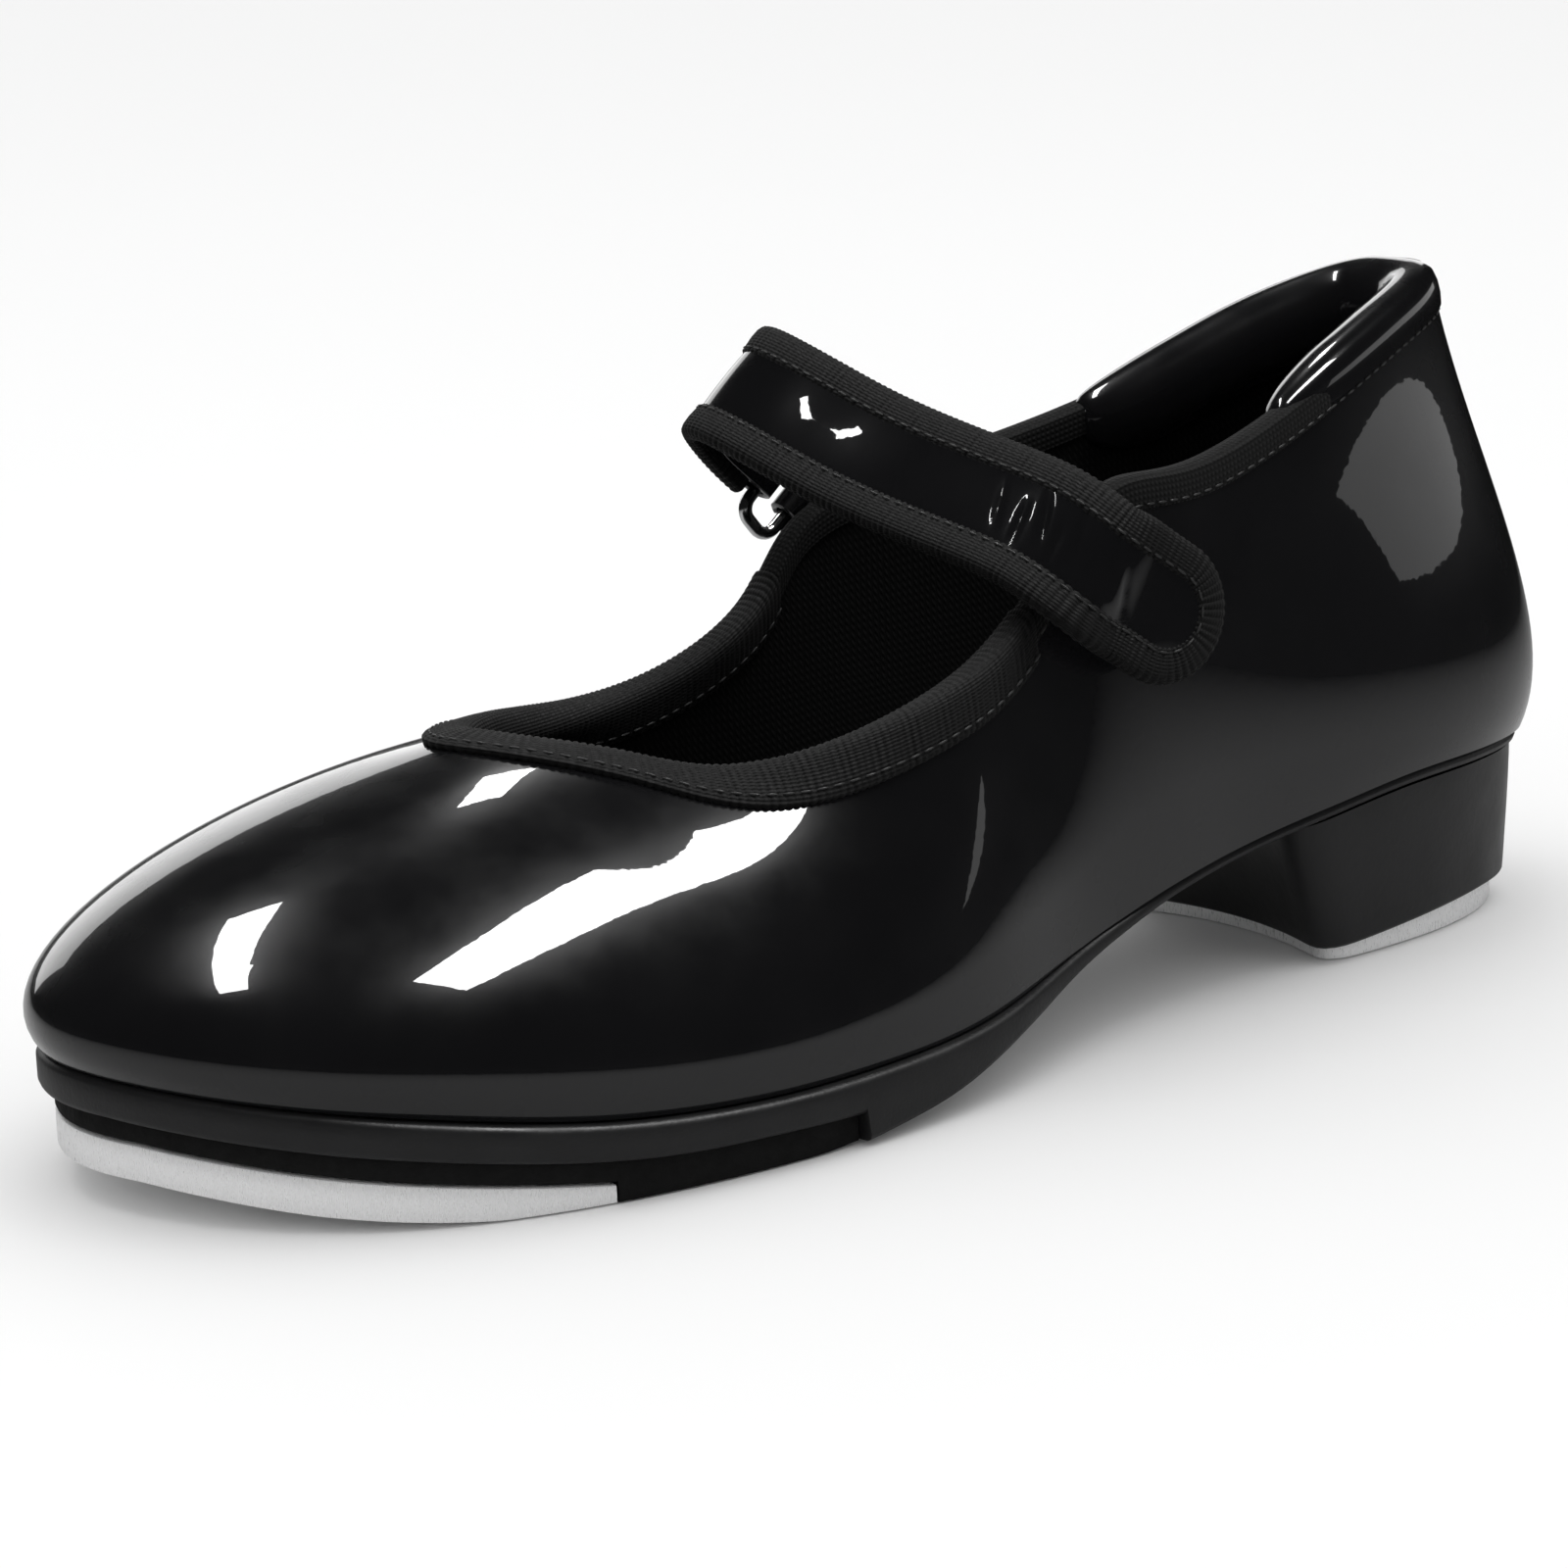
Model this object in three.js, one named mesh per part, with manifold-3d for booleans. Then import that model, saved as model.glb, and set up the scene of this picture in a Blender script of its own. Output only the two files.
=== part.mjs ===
// Tap shoe, left foot: a patent leather Mary Jane with a hook-and-loop strap and metal taps.
// Millimetres. +X points to the toe, +Y to the outer (lateral) side of the foot, +Z up.
// The origin is on the ground, below the middle of the shoe's box.
import * as THREE from 'three';
import { mergeVertices } from 'three/addons/utils/BufferGeometryUtils.js';
import Module from 'manifold-3d';

const wasm = await Module();
wasm.setup();

// ---- Driving dimensions ----
const GAP = 0.3;                  // clearance between touching pieces
const UPPER_THICK = 1.2;          // patent leather
const STIFFENER_IN = 1.5;         // toe puff and heel counter, depth below the outer face
const STIFFENER_THICK = 0.7;
const LINING_IN = 2.5;
const LINING_THICK = 0.7;
const FLEX_X = 152;               // ball of the foot, where the forefoot bends
const FLEX_Z = 9;
const FLEX_HALF_ANGLE = 13.5;     // degrees, half of the wedge left free above the bend
const BOARD_LIFT = 1.5;           // insole board above the feather edge
const BOARD_THICK = 1.5;
const FOOTBED_THICK = 2;
const HALF_SOLE_REAR_X = 141;
const TAP_REAR_X = 175;
const HEEL_BREAST_TOP_X = 57;
const HEEL_BREAST_LEAN = 6;
const BREAST_HOLLOW = 4;
const HEEL_INSET = 1.5;           // the heel's top, inside the feather edge
const HEEL_TAPER = 1.2;
const TAP_INSET = 1.8;            // taps and half sole, inside the edge above them
const HEEL_TAP_FRONT_X = 49;
const BINDING_LEG = 5;            // ribbed binding, visible height
const BINDING_THICK = 0.6;
const BINDING_GAP = 0.45;
const FLAT_BINDING_LEG = 3.5;     // plain tape over the quarters' top edge
const FLAT_BINDING_THICK = 0.4;
const STRAP_HALF_CORE = 4.6;
const STRAP_HALF = 9.2;
const STRAP_HALF_THICK = 1.1;
const STRAP_BINDING_HALF_THICK = 1.4;
const WIRE_R = 0.9;
const RING_HALF = 10.6;
const LOOP_INNER_R = 1.3;
const LOOP_OUTER_R = 2.4;
const TAB_REACH = 11;             // knee of the strap to the centre of its round end

// Height of the feather edge, where the upper meets the sole, along the shoe.
const SEAT = [[0, 24], [20, 24.8], [36, 24.6], [52, 22.6], [65, 20.6], [78, 18.2], [92, 15], [106, 12],
  [120, 9.9], [136, 9], [155, 8.9], [175, 10.2], [198, 13.6], [222, 17.3]];

// Sections of the upper from the feather edge (foot) to the top edge, heel to toe on the lateral side:
// foot x, y; top x, y, z; lean out of the foot, its height; lean out of the top, its drop.
const LATERAL = [
  [0.8, 2, 13, 0, 85.5, 7, 14, 5, 24],
  [5.5, 14.5, 16, 9.5, 85.2, 6.5, 14, 4, 22],
  [20, 23, 30, 17, 82.3, 6, 14, 3, 20],
  [40, 26.3, 48, 22.3, 76.8, 5, 14, 1.5, 20],
  [62, 26.5, 72, 26.5, 70.5, 4, 14, 0, 20],
  [76, 27.5, 87.5, 28.2, 70, 3.5, 14, 0, 20],
  [88, 29, 97, 28.3, 61.5, 3, 14, 0, 15],
  [101, 32, 106, 29.2, 53.3, 2, 12, 0, 12],
  [117, 37.5, 117, 30.6, 49, 1.5, 11, 1, 10],
  [137, 41, 131, 28, 45, 2.5, 11, 3, 8],
  [160, 41.5, 144, 21, 43, 4, 12, 8, 6],
  [184, 37.5, 153, 12.5, 45, 6, 13, 15, 6],
  [204, 28, 160, 4.5, 46.5, 8, 13, 21, 4],
  [217, 13, 163, 0, 47, 9, 12, 28, 4]];
const TOE = [222, -5, 164, -3, 47, 9, 12, 31, 4.5];
// The medial side, toe to heel.
const MEDIAL = [
  [216, -20.5, 163, -6, 46.5, 9, 12, 28, 4],
  [202, -32, 160, -10, 46, 8, 13, 21, 4],
  [181, -37, 153, -16, 45, 6, 13, 15, 5],
  [157, -37.5, 143, -21.5, 43.5, 5, 12, 8, 6],
  [136, -33, 130, -25.5, 42.5, 4, 12, 3, 8],
  [118, -27, 117, -27, 44.5, 4, 12, 2, 10],
  [102, -24, 105, -28.5, 50, 4, 12, 1, 12],
  [90, -22.5, 98, -29, 58, 4, 13, 1, 14],
  [78, -22.5, 88, -28.5, 63, 4, 14, 1, 16],
  [60, -23, 68, -26.5, 66.5, 4, 14, 1, 18],
  [38, -23.7, 46, -22.5, 72, 5, 14, 1.5, 18],
  [19, -20, 30, -17, 79.2, 6, 14, 3, 20],
  [5.2, -11, 16, -9.5, 84.2, 6.5, 14, 4, 22]];
const SECTIONS = [...LATERAL, TOE, ...MEDIAL];
const TOE_U = LATERAL.length;

// Sole heights along the shoe.
const SOLE_BOTTOM = [[0, 22], [20, 22.8], [36, 22.6], [52, 20.6], [65, 18.6], [78, 16.2], [88, 13.6],
  [97, 11.2], [106, 8.6], [113, 6.6], [126, 2.8], [HALF_SOLE_REAR_X, 0.4]];
const RECESS_TOP = [[HALF_SOLE_REAR_X, 4], [150, 4.2], [172, 5], [198, 8.6], [221, 12.2]];
const HALF_SOLE_BOTTOM = [[HALF_SOLE_REAR_X, 0.4], [147, 0], [TAP_REAR_X, 0]];
const TAP_BOTTOM = [[TAP_REAR_X, 0], [188, 0], [205, 1.8], [220, 4.6]];
const TAP_TOP = [[TAP_REAR_X, 2.2], [190, 4.2], [205, 6.4], [220, 9]];
const SOLE_FLARE = [[0, -0.8], [50, -0.8], [80, -0.3], [100, 0.8], [120, 1.5], [190, 1.4], [222, 0.3]];
const HEEL_BOTTOM = [[0, 3.2], [20, 4], [50, 2]];

// The strap's middle line from the ring's upper bar over the instep to its round end.
const STRAP_LINE = [[94, -31.8, 69], [99.5, -31.7, 74], [105, -28.8, 79.2], [107, -21, 79.6], [106, -12, 77],
  [104, -3, 73.8], [102, 8, 71], [100.2, 19.3, 68.7], [98.4, 28, 66.2], [95.3, 33.8, 62]];
const STRAP_END = [85.3, 35.2, 54.7];
const STRAP_SLANT = [0.76, 0, -0.65];
const RING_LOWER = [89.9, -32.3, 64.2];
const RING_UPPER = [94, -31.8, 69];
const CENTRE_X = 111.2;          // middle of the shoe's box
const CENTRE_Y = 1.95;

// ---- Curves ----
const vec = (p) => new THREE.Vector3(...p);

function heightAt(points, x) {
  const last = points.length - 2;
  let i = 0;
  while (i < last && x > points[i + 1][0]) i += 1;
  const slope = (k) => {
    const a = points[Math.max(k - 1, 0)];
    const b = points[Math.min(k + 1, points.length - 1)];
    return (b[1] - a[1]) / (b[0] - a[0]);
  };
  const [x0, y0] = points[i];
  const [x1, y1] = points[i + 1];
  const h = x1 - x0;
  const f = THREE.MathUtils.clamp((x - x0) / h, 0, 1);
  const g = 1 - f;
  const bend = h * f * g * (slope(i) * g - slope(i + 1) * f);
  return y0 * g * g * (1 + 2 * f) + y1 * f * f * (3 - 2 * f) + bend;
}

function blendFour(a, b, c, d, f) {
  const square = 2 * a - 5 * b + 4 * c - d;
  const cube = 3 * b - a - 3 * c + d;
  return 0.5 * (2 * b + (c - a) * f + square * f * f + cube * f ** 3);
}

function sectionAt(u) {
  const n = SECTIONS.length;
  const i = Math.floor(u);
  const at = (k) => SECTIONS[(((i + k) % n) + n) % n];
  return at(0).map((_, j) => blendFour(at(-1)[j], at(0)[j], at(1)[j], at(2)[j], u - i));
}

function footOutward(u) {
  const a = sectionAt(u - 0.02);
  const b = sectionAt(u + 0.02);
  return new THREE.Vector3(-(b[1] - a[1]), b[0] - a[0], 0).normalize();
}

function outerFace(u, v) {
  const [fx, fy, tx, ty, tz, out, rise, topOut, drop] = sectionAt(u);
  const n = footOutward(u);
  const p0 = new THREE.Vector3(fx, fy, heightAt(SEAT, fx));
  const p3 = new THREE.Vector3(tx, ty, tz);
  const p1 = p0.clone().addScaledVector(n, out).add(new THREE.Vector3(0, 0, rise));
  const p2 = p3.clone().addScaledVector(n, topOut).add(new THREE.Vector3(0, 0, -drop));
  return new THREE.CubicBezierCurve3(p0, p1, p2, p3).getPoint(v);
}

function faceFrame(u, v) {
  const e = 0.02;
  const along = outerFace(u + e, v).sub(outerFace(u - e, v)).normalize();
  const up = outerFace(u, Math.min(v + e, 1)).sub(outerFace(u, Math.max(v - e, 0))).normalize();
  const normal = up.clone().cross(along).normalize();
  return { point: outerFace(u, v), along, up, normal };
}

function wallPoint(u, v, depth) {
  const { point, normal } = faceFrame(u, v);
  return point.addScaledVector(normal, -depth);
}

const steps = (from, to, n) => Array.from({ length: n + 1 }, (_, i) => from + ((to - from) * i) / n);

// ---- Solids ----
// A closed body skinned over rings of points; open ends get flat caps.
function loft(rings, closed = false, capAxes = [0, 1]) {
  const m = rings[0].length;
  const points = rings.flat();
  const faces = [];
  const count = closed ? rings.length : rings.length - 1;
  for (let i = 0; i < count; i += 1) {
    const a = i * m;
    const b = ((i + 1) % rings.length) * m;
    for (let j = 0; j < m; j += 1) {
      const k = (j + 1) % m;
      faces.push([a + j, b + j, b + k], [a + j, b + k, a + k]);
    }
  }
  if (!closed) {
    const [p, q] = capAxes;
    const flat = (ring) => ring.map((v) => new THREE.Vector2(v.getComponent(p), v.getComponent(q)));
    const end = (rings.length - 1) * m;
    for (const [x, y, z] of THREE.ShapeUtils.triangulateShape(flat(rings[0]), [])) faces.push([x, y, z]);
    for (const [x, y, z] of THREE.ShapeUtils.triangulateShape(flat(rings.at(-1)), [])) {
      faces.push([end + x, end + y, end + z]);
    }
  }
  return orient(points, faces);
}

// Makes neighbouring faces agree and turns the whole body outwards.
function orient(points, faces) {
  const edges = new Map();
  const key = (a, b) => (a < b ? `${a}_${b}` : `${b}_${a}`);
  faces.forEach((f, i) => {
    for (let k = 0; k < 3; k += 1) {
      const e = key(f[k], f[(k + 1) % 3]);
      edges.set(e, [...(edges.get(e) ?? []), i]);
    }
  });
  const seen = new Set([0]);
  const queue = [0];
  while (queue.length) {
    const f = faces[queue.pop()];
    for (let k = 0; k < 3; k += 1) {
      const [a, b] = [f[k], f[(k + 1) % 3]];
      for (const j of edges.get(key(a, b))) {
        if (seen.has(j)) continue;
        seen.add(j);
        const g = faces[j];
        const same = [0, 1, 2].some((t) => g[t] === a && g[(t + 1) % 3] === b);
        if (same) g.reverse();
        queue.push(j);
      }
    }
  }
  const volume = faces.reduce((s, [a, b, c]) => s + points[a].dot(points[b].clone().cross(points[c])), 0);
  if (volume < 0) faces.forEach((f) => f.reverse());
  const geometry = new THREE.BufferGeometry().setFromPoints(points);
  geometry.setIndex(faces.flat());
  return geometry;
}

function toSolid(geometry) {
  const bare = geometry.clone();
  bare.deleteAttribute('normal');
  bare.deleteAttribute('uv');
  const merged = mergeVertices(bare, 1e-4);
  const vertProperties = new Float32Array(merged.attributes.position.array);
  const triVerts = new Uint32Array(merged.index.array);
  return new wasm.Manifold(new wasm.Mesh({ numProp: 3, vertProperties, triVerts }));
}

function toGeometry(solid) {
  const mesh = solid.getMesh();
  const geometry = new THREE.BufferGeometry();
  geometry.setAttribute('position', new THREE.BufferAttribute(mesh.vertProperties, 3));
  geometry.setIndex(new THREE.BufferAttribute(mesh.triVerts, 1));
  return geometry;
}

const cut = (a, b) => toGeometry(toSolid(a).subtract(toSolid(b)));
const join = (a, b) => toGeometry(toSolid(a).add(toSolid(b)));
const common = (a, b) => toGeometry(toSolid(a).intersect(toSolid(b)));

// The room around the shoe, for the blocks that cut its walls.
const LOW = -20;
const HIGH = 140;
const BACK = -60;
const FRONT = 300;
const WIDE = 90;

// A prism across the whole shoe from an outline in x and z.
function prism(outline, yFrom = -WIDE, yTo = WIDE) {
  return loft([yFrom, yTo].map((y) => outline.map(([x, z]) => new THREE.Vector3(x, y, z))), false, [0, 2]);
}

const FLEX_RUN = Math.tan(THREE.MathUtils.degToRad(FLEX_HALF_ANGLE));
const reach = (top) => (top - FLEX_Z) * FLEX_RUN;
const flexFront = FLEX_X + GAP / 2;
const flexRear = FLEX_X - GAP / 2;
const aheadOfFlex = prism([[flexFront, LOW], [flexFront, FLEX_Z], [flexFront + reach(HIGH), HIGH],
  [FRONT, HIGH], [FRONT, LOW]]);
const behindFlex = prism([[flexRear, LOW], [flexRear, FLEX_Z], [flexRear - reach(HIGH), HIGH],
  [BACK, HIGH], [BACK, LOW]]);
const sideBlock = (yFrom, yTo) => prism([[BACK, LOW], [FRONT, LOW], [FRONT, HIGH], [BACK, HIGH]],
  yFrom, yTo);
const wedge = (yFrom, yTo) => prism([[FLEX_X, FLEX_Z + 2], [FLEX_X - reach(HIGH) + GAP, HIGH],
  [FLEX_X + reach(HIGH) - GAP, HIGH]], yFrom, yTo);
const lateralWedge = wedge(4, WIDE);
const medialWedge = wedge(-WIDE, -4);

// A wall of the upper between two depths; the whole way round, or from u0 to u1.
// Every layer shares the same stations and rows, so that the layers stay parallel.
const ROWS = [0.012, ...steps(0.125, 1, 7)];
function wallShell(depth, thick, rows = ROWS, u0 = null, u1 = null) {
  const closed = u0 === null;
  const count = closed ? SECTIONS.length * 2 : (u1 - u0) * 2;
  const us = closed ? steps(0, SECTIONS.length, count).slice(0, -1) : steps(u0, u1, count);
  const rings = us.map((u) => [
    ...rows.map((v) => wallPoint(u, v, depth)),
    ...rows.toReversed().map((v) => wallPoint(u, v, depth + thick))]);
  return loft(rings, closed, [1, 2]);
}

// A channel folded over the top edge; down is measured along the wall from its edge.
function edgeRing(u, profile) {
  const { up } = faceFrame(u, 1);
  return profile.map(([out, down]) => {
    const edge = wallPoint(u, 1, -out);
    if (down <= 0) return edge.addScaledVector(up, -down);
    const row = wallPoint(u, ROWS.at(-2), -out);
    return edge.add(row.sub(edge).setLength(down));
  });
}

function edgePiece(profile, u0, u1) {
  const first = Math.floor(u0 * 2) + 1;
  const last = Math.ceil(u1 * 2) - 1;
  const inner = steps(first, last, last - first);
  const between = (u) => {
    const low = edgeRing(Math.floor(u * 2) / 2, profile);
    const high = edgeRing(Math.floor(u * 2) / 2 + 0.5, profile);
    return low.map((p, i) => p.lerp(high[i], u * 2 - Math.floor(u * 2)));
  };
  return loft([u0, ...inner.map((k) => k / 2), u1].map(between), false, [1, 2]);
}

const LINING_FACE = LINING_IN + LINING_THICK;
const TRIM = 0.15;                // spare clearance cut from what sits on the wall
const wallAllowance = wallShell(-TRIM, LINING_FACE + 2 * TRIM);
function channel(leg, thick) {
  const outer = BINDING_GAP + thick;
  const inner = -(LINING_FACE + BINDING_GAP);
  const top = -(BINDING_GAP + thick);
  return [[outer, leg], [outer, top], [inner - thick, top], [inner - thick, leg], [inner, leg],
    [inner, -BINDING_GAP], [BINDING_GAP, -BINDING_GAP], [BINDING_GAP, leg]];
}

// The outline of the feather edge, moved outwards by a flare.
function outline(flare) {
  return steps(0, SECTIONS.length, SECTIONS.length * 6).slice(0, -1).map((u) => {
    const [x, y] = sectionAt(u);
    return new THREE.Vector3(x, y, 0).addScaledVector(footOutward(u), flare);
  });
}

function widthAt(loop, x) {
  const ys = [];
  loop.forEach((p, i) => {
    const q = loop[(i + 1) % loop.length];
    if ((p.x - x) * (q.x - x) <= 0 && p.x !== q.x) ys.push(p.y + ((q.y - p.y) * (x - p.x)) / (q.x - p.x));
  });
  return [Math.min(...ys), Math.max(...ys)];
}

// A layer of the sole between two height curves; stations crowd towards a rounded end.
function layer({ from = null, to = null, flare, bottom, top, n = 14 }) {
  const flareAt = (x) => (typeof flare === 'function' ? flare(x) : flare);
  const base = outline(0);
  const low = Math.min(...base.map((p) => p.x)) - flareAt(0) + 0.05;
  const high = Math.max(...base.map((p) => p.x)) + flareAt(220) - 0.05;
  const start = from ?? low;
  const end = to ?? high;
  const xs = steps(0, 1, n).map((f) => {
    let g = f;
    if (from === null && to === null) g = (1 - Math.cos(Math.PI * f)) / 2;
    else if (from === null) g = 1 - Math.cos((Math.PI / 2) * f);
    else if (to === null) g = Math.sin((Math.PI / 2) * f);
    return start + (end - start) * g;
  });
  const loops = new Map();
  const rings = xs.map((x) => {
    const f = Math.round(flareAt(x) * 10) / 10;
    if (!loops.has(f)) loops.set(f, outline(f));
    const loop = loops.get(f);
    const xLow = Math.min(...loop.map((p) => p.x)) + 0.04;
    const xHigh = Math.max(...loop.map((p) => p.x)) - 0.04;
    const [y0, y1] = widthAt(loop, THREE.MathUtils.clamp(x, xLow, xHigh));
    const [b, t] = [bottom(x), top(x)];
    const corners = [[y0, b], [(y0 + y1) / 2, b], [y1, b], [y1, t], [(y0 + y1) / 2, t], [y0, t]];
    return corners.map(([y, z]) => new THREE.Vector3(x, y, z));
  });
  return loft(rings, false, [1, 2]);
}

// A body of revolution about +Z, placed at a point.
function turned(profile, at, segments = 12) {
  const lathe = new THREE.LatheGeometry(profile.map(([r, z]) => new THREE.Vector2(r, z)), segments);
  lathe.rotateX(Math.PI / 2);
  lathe.translate(...at);
  const bare = new THREE.BufferGeometry();
  bare.setAttribute('position', lathe.attributes.position);
  bare.setIndex(lathe.index);
  const merged = mergeVertices(bare, 1e-4);
  const index = Array.from(merged.index.array);
  const faces = [];
  for (let i = 0; i < index.length; i += 3) {
    const f = index.slice(i, i + 3);
    if (new Set(f).size === 3) faces.push(f);
  }
  const p = merged.attributes.position;
  const points = Array.from({ length: p.count }, (_, i) => new THREE.Vector3().fromBufferAttribute(p, i));
  return orient(points, faces);
}

// ---- Screws and nails ----
const SCREW = { head: 2.4, headDepth: 1.2, shank: 1.1 };
const NAIL = { head: 2, headThick: 0.6, shank: 0.8, point: 1.5, length: 10 };
const HEAD_LIFT = 0.2;            // screw heads sit this far above the tap's underside
const TOE_SCREW_LENGTH = 5;
const HEEL_SCREW_LENGTH = 9;
const TOE_SCREWS = [[182, 21], [182, -23], [204, 14], [204, -18]];
const HEEL_SCREWS = [[14, 0], [38, 12], [38, -10]];
const NAILS = [[20, 9], [20, -8], [44, 12], [44, -9]];

// A countersunk screw with its head down, driven upwards from z by its length.
function screw([x, y], z, length) {
  const { head, headDepth, shank } = SCREW;
  return turned([[0, 0], [head, 0], [shank, headDepth], [shank, length], [0, length]], [x, y, z], 10);
}

function screwClearance([x, y], z, length) {
  const { head, headDepth, shank } = SCREW;
  return turned([[0, -9], [head + GAP, -9], [head + GAP, GAP], [shank + GAP, headDepth + GAP],
    [shank + GAP, length + GAP], [0, length + GAP]], [x, y, z], 10);
}

// A nail with its head up, lying just above the feather edge.
const nailFoot = (x) => heightAt(SEAT, x) - NAIL.length + 1;
function nail([x, y]) {
  const { head, headThick, shank, point, length } = NAIL;
  const neck = length - headThick;
  return turned([[0, 0], [shank, point], [shank, neck], [head, neck], [head, length], [0, length]],
    [x, y, nailFoot(x)], 8);
}

function nailHole([x, y]) {
  const r = NAIL.shank + GAP;
  return turned([[0, -GAP], [r, -GAP], [r, 20], [0, 20]], [x, y, nailFoot(x)], 8);
}

const pierced = (geometry, holes) => holes.reduce((body, hole) => cut(body, hole), geometry);

// ---- Materials ----
const finish = (color, roughness, metalness = 0) =>
  new THREE.MeshStandardMaterial({ color, roughness, metalness });
const MATERIALS = {
  patent: () => finish(0x0c0c0e, 0.08),
  ribbon: () => finish(0x141414, 0.85),
  lining: () => finish(0x101010, 0.95),
  board: () => finish(0x8a7657, 0.8),
  sole: () => finish(0x1c1c1e, 0.5),
  halfSole: () => finish(0x0e0e0e, 0.9),
  heel: () => finish(0x1a1a1c, 0.4),
  aluminium: () => finish(0xd9dadc, 0.3, 1),
  steel: () => finish(0xb8babd, 0.25, 1),
  hookLoop: () => finish(0x111111, 1),
  foam: () => finish(0x2a2a2a, 0.9),
};

const shoe = new THREE.Group();
shoe.position.set(-CENTRE_X, -CENTRE_Y, 0);

function add(name, geometry, material) {
  const mesh = new THREE.Mesh(geometry, MATERIALS[material]());
  mesh.name = name;
  shoe.add(mesh);
}

// ---- Upper ----
const PUFF_U = 2.5;               // reach of the toe puff along the outline, each way
const COUNTER_U = 3.5;            // and of the heel counter
function addUpper() {
  const patent = wallShell(0, UPPER_THICK);
  add('vamp', common(patent, aheadOfFlex), 'patent');
  const back = common(patent, behindFlex);
  const seam = GAP / 2;
  add('quarter_lateral', common(back, sideBlock(seam, WIDE)), 'patent');
  add('quarter_medial', common(back, sideBlock(-WIDE, -seam)), 'patent');
  add('upper_flex_lateral', common(patent, lateralWedge), 'patent');
  add('upper_flex_medial', common(patent, medialWedge), 'patent');
  const lining = wallShell(LINING_IN, LINING_THICK);
  add('vamp_lining', common(lining, aheadOfFlex), 'lining');
  add('quarter_lining', common(lining, behindFlex), 'lining');
  add('lining_flex_lateral', common(lining, lateralWedge), 'lining');
  add('lining_flex_medial', common(lining, medialWedge), 'lining');
  const puffRows = steps(0.125, 0.625, 4);
  const puff = wallShell(STIFFENER_IN, STIFFENER_THICK, puffRows, TOE_U - PUFF_U, TOE_U + PUFF_U);
  add('toe_puff', puff, 'foam');
  const counterRows = steps(0.125, 0.75, 5);
  add('heel_counter', wallShell(STIFFENER_IN, STIFFENER_THICK, counterRows, -COUNTER_U, COUNTER_U), 'board');
}

// ---- Edge bindings and the padded collar ----
const THROAT_START_U = 6.6;       // where the ribbed binding begins on the lateral side
const THROAT_END_U = 21.4;        // and ends on the medial side
const COLLAR_U = 3.2;             // the collar roll's reach from the back seam, each way
const END_GAP_U = 0.05;           // between the end of one edge piece and the next
function addBindings() {
  const tape = edgePiece(channel(BINDING_LEG, BINDING_THICK), THROAT_START_U, THROAT_END_U);
  const ribbed = cut(tape, wallAllowance);
  add('throat_binding_front', common(ribbed, aheadOfFlex), 'ribbon');
  const back = common(ribbed, behindFlex);
  add('throat_binding_lateral', common(back, sideBlock(0, WIDE)), 'ribbon');
  add('throat_binding_medial', common(back, sideBlock(-WIDE, 0)), 'ribbon');
  add('binding_flex_lateral', common(ribbed, lateralWedge), 'ribbon');
  add('binding_flex_medial', common(ribbed, medialWedge), 'ribbon');
  const flat = channel(FLAT_BINDING_LEG, FLAT_BINDING_THICK);
  const lateral = edgePiece(flat, COLLAR_U + END_GAP_U, THROAT_START_U - END_GAP_U);
  add('topline_binding_lateral', cut(lateral, wallAllowance), 'ribbon');
  const medial = edgePiece(flat, THROAT_END_U + END_GAP_U, SECTIONS.length - COLLAR_U - END_GAP_U);
  add('topline_binding_medial', cut(medial, wallAllowance), 'ribbon');
  const roll = [[0.2, -0.4], [0.2, -1.8], [-1.5, -3], [-4, -3.2], [-6.5, -1.8], [-8, 1.5], [-7.6, 5.5],
    [-5.8, 8], [-3.6, 8.5], [-3.6, -0.4]];
  add('collar_pad', cut(edgePiece(roll, -COLLAR_U, COLLAR_U), wallAllowance), 'patent');
}

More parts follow.
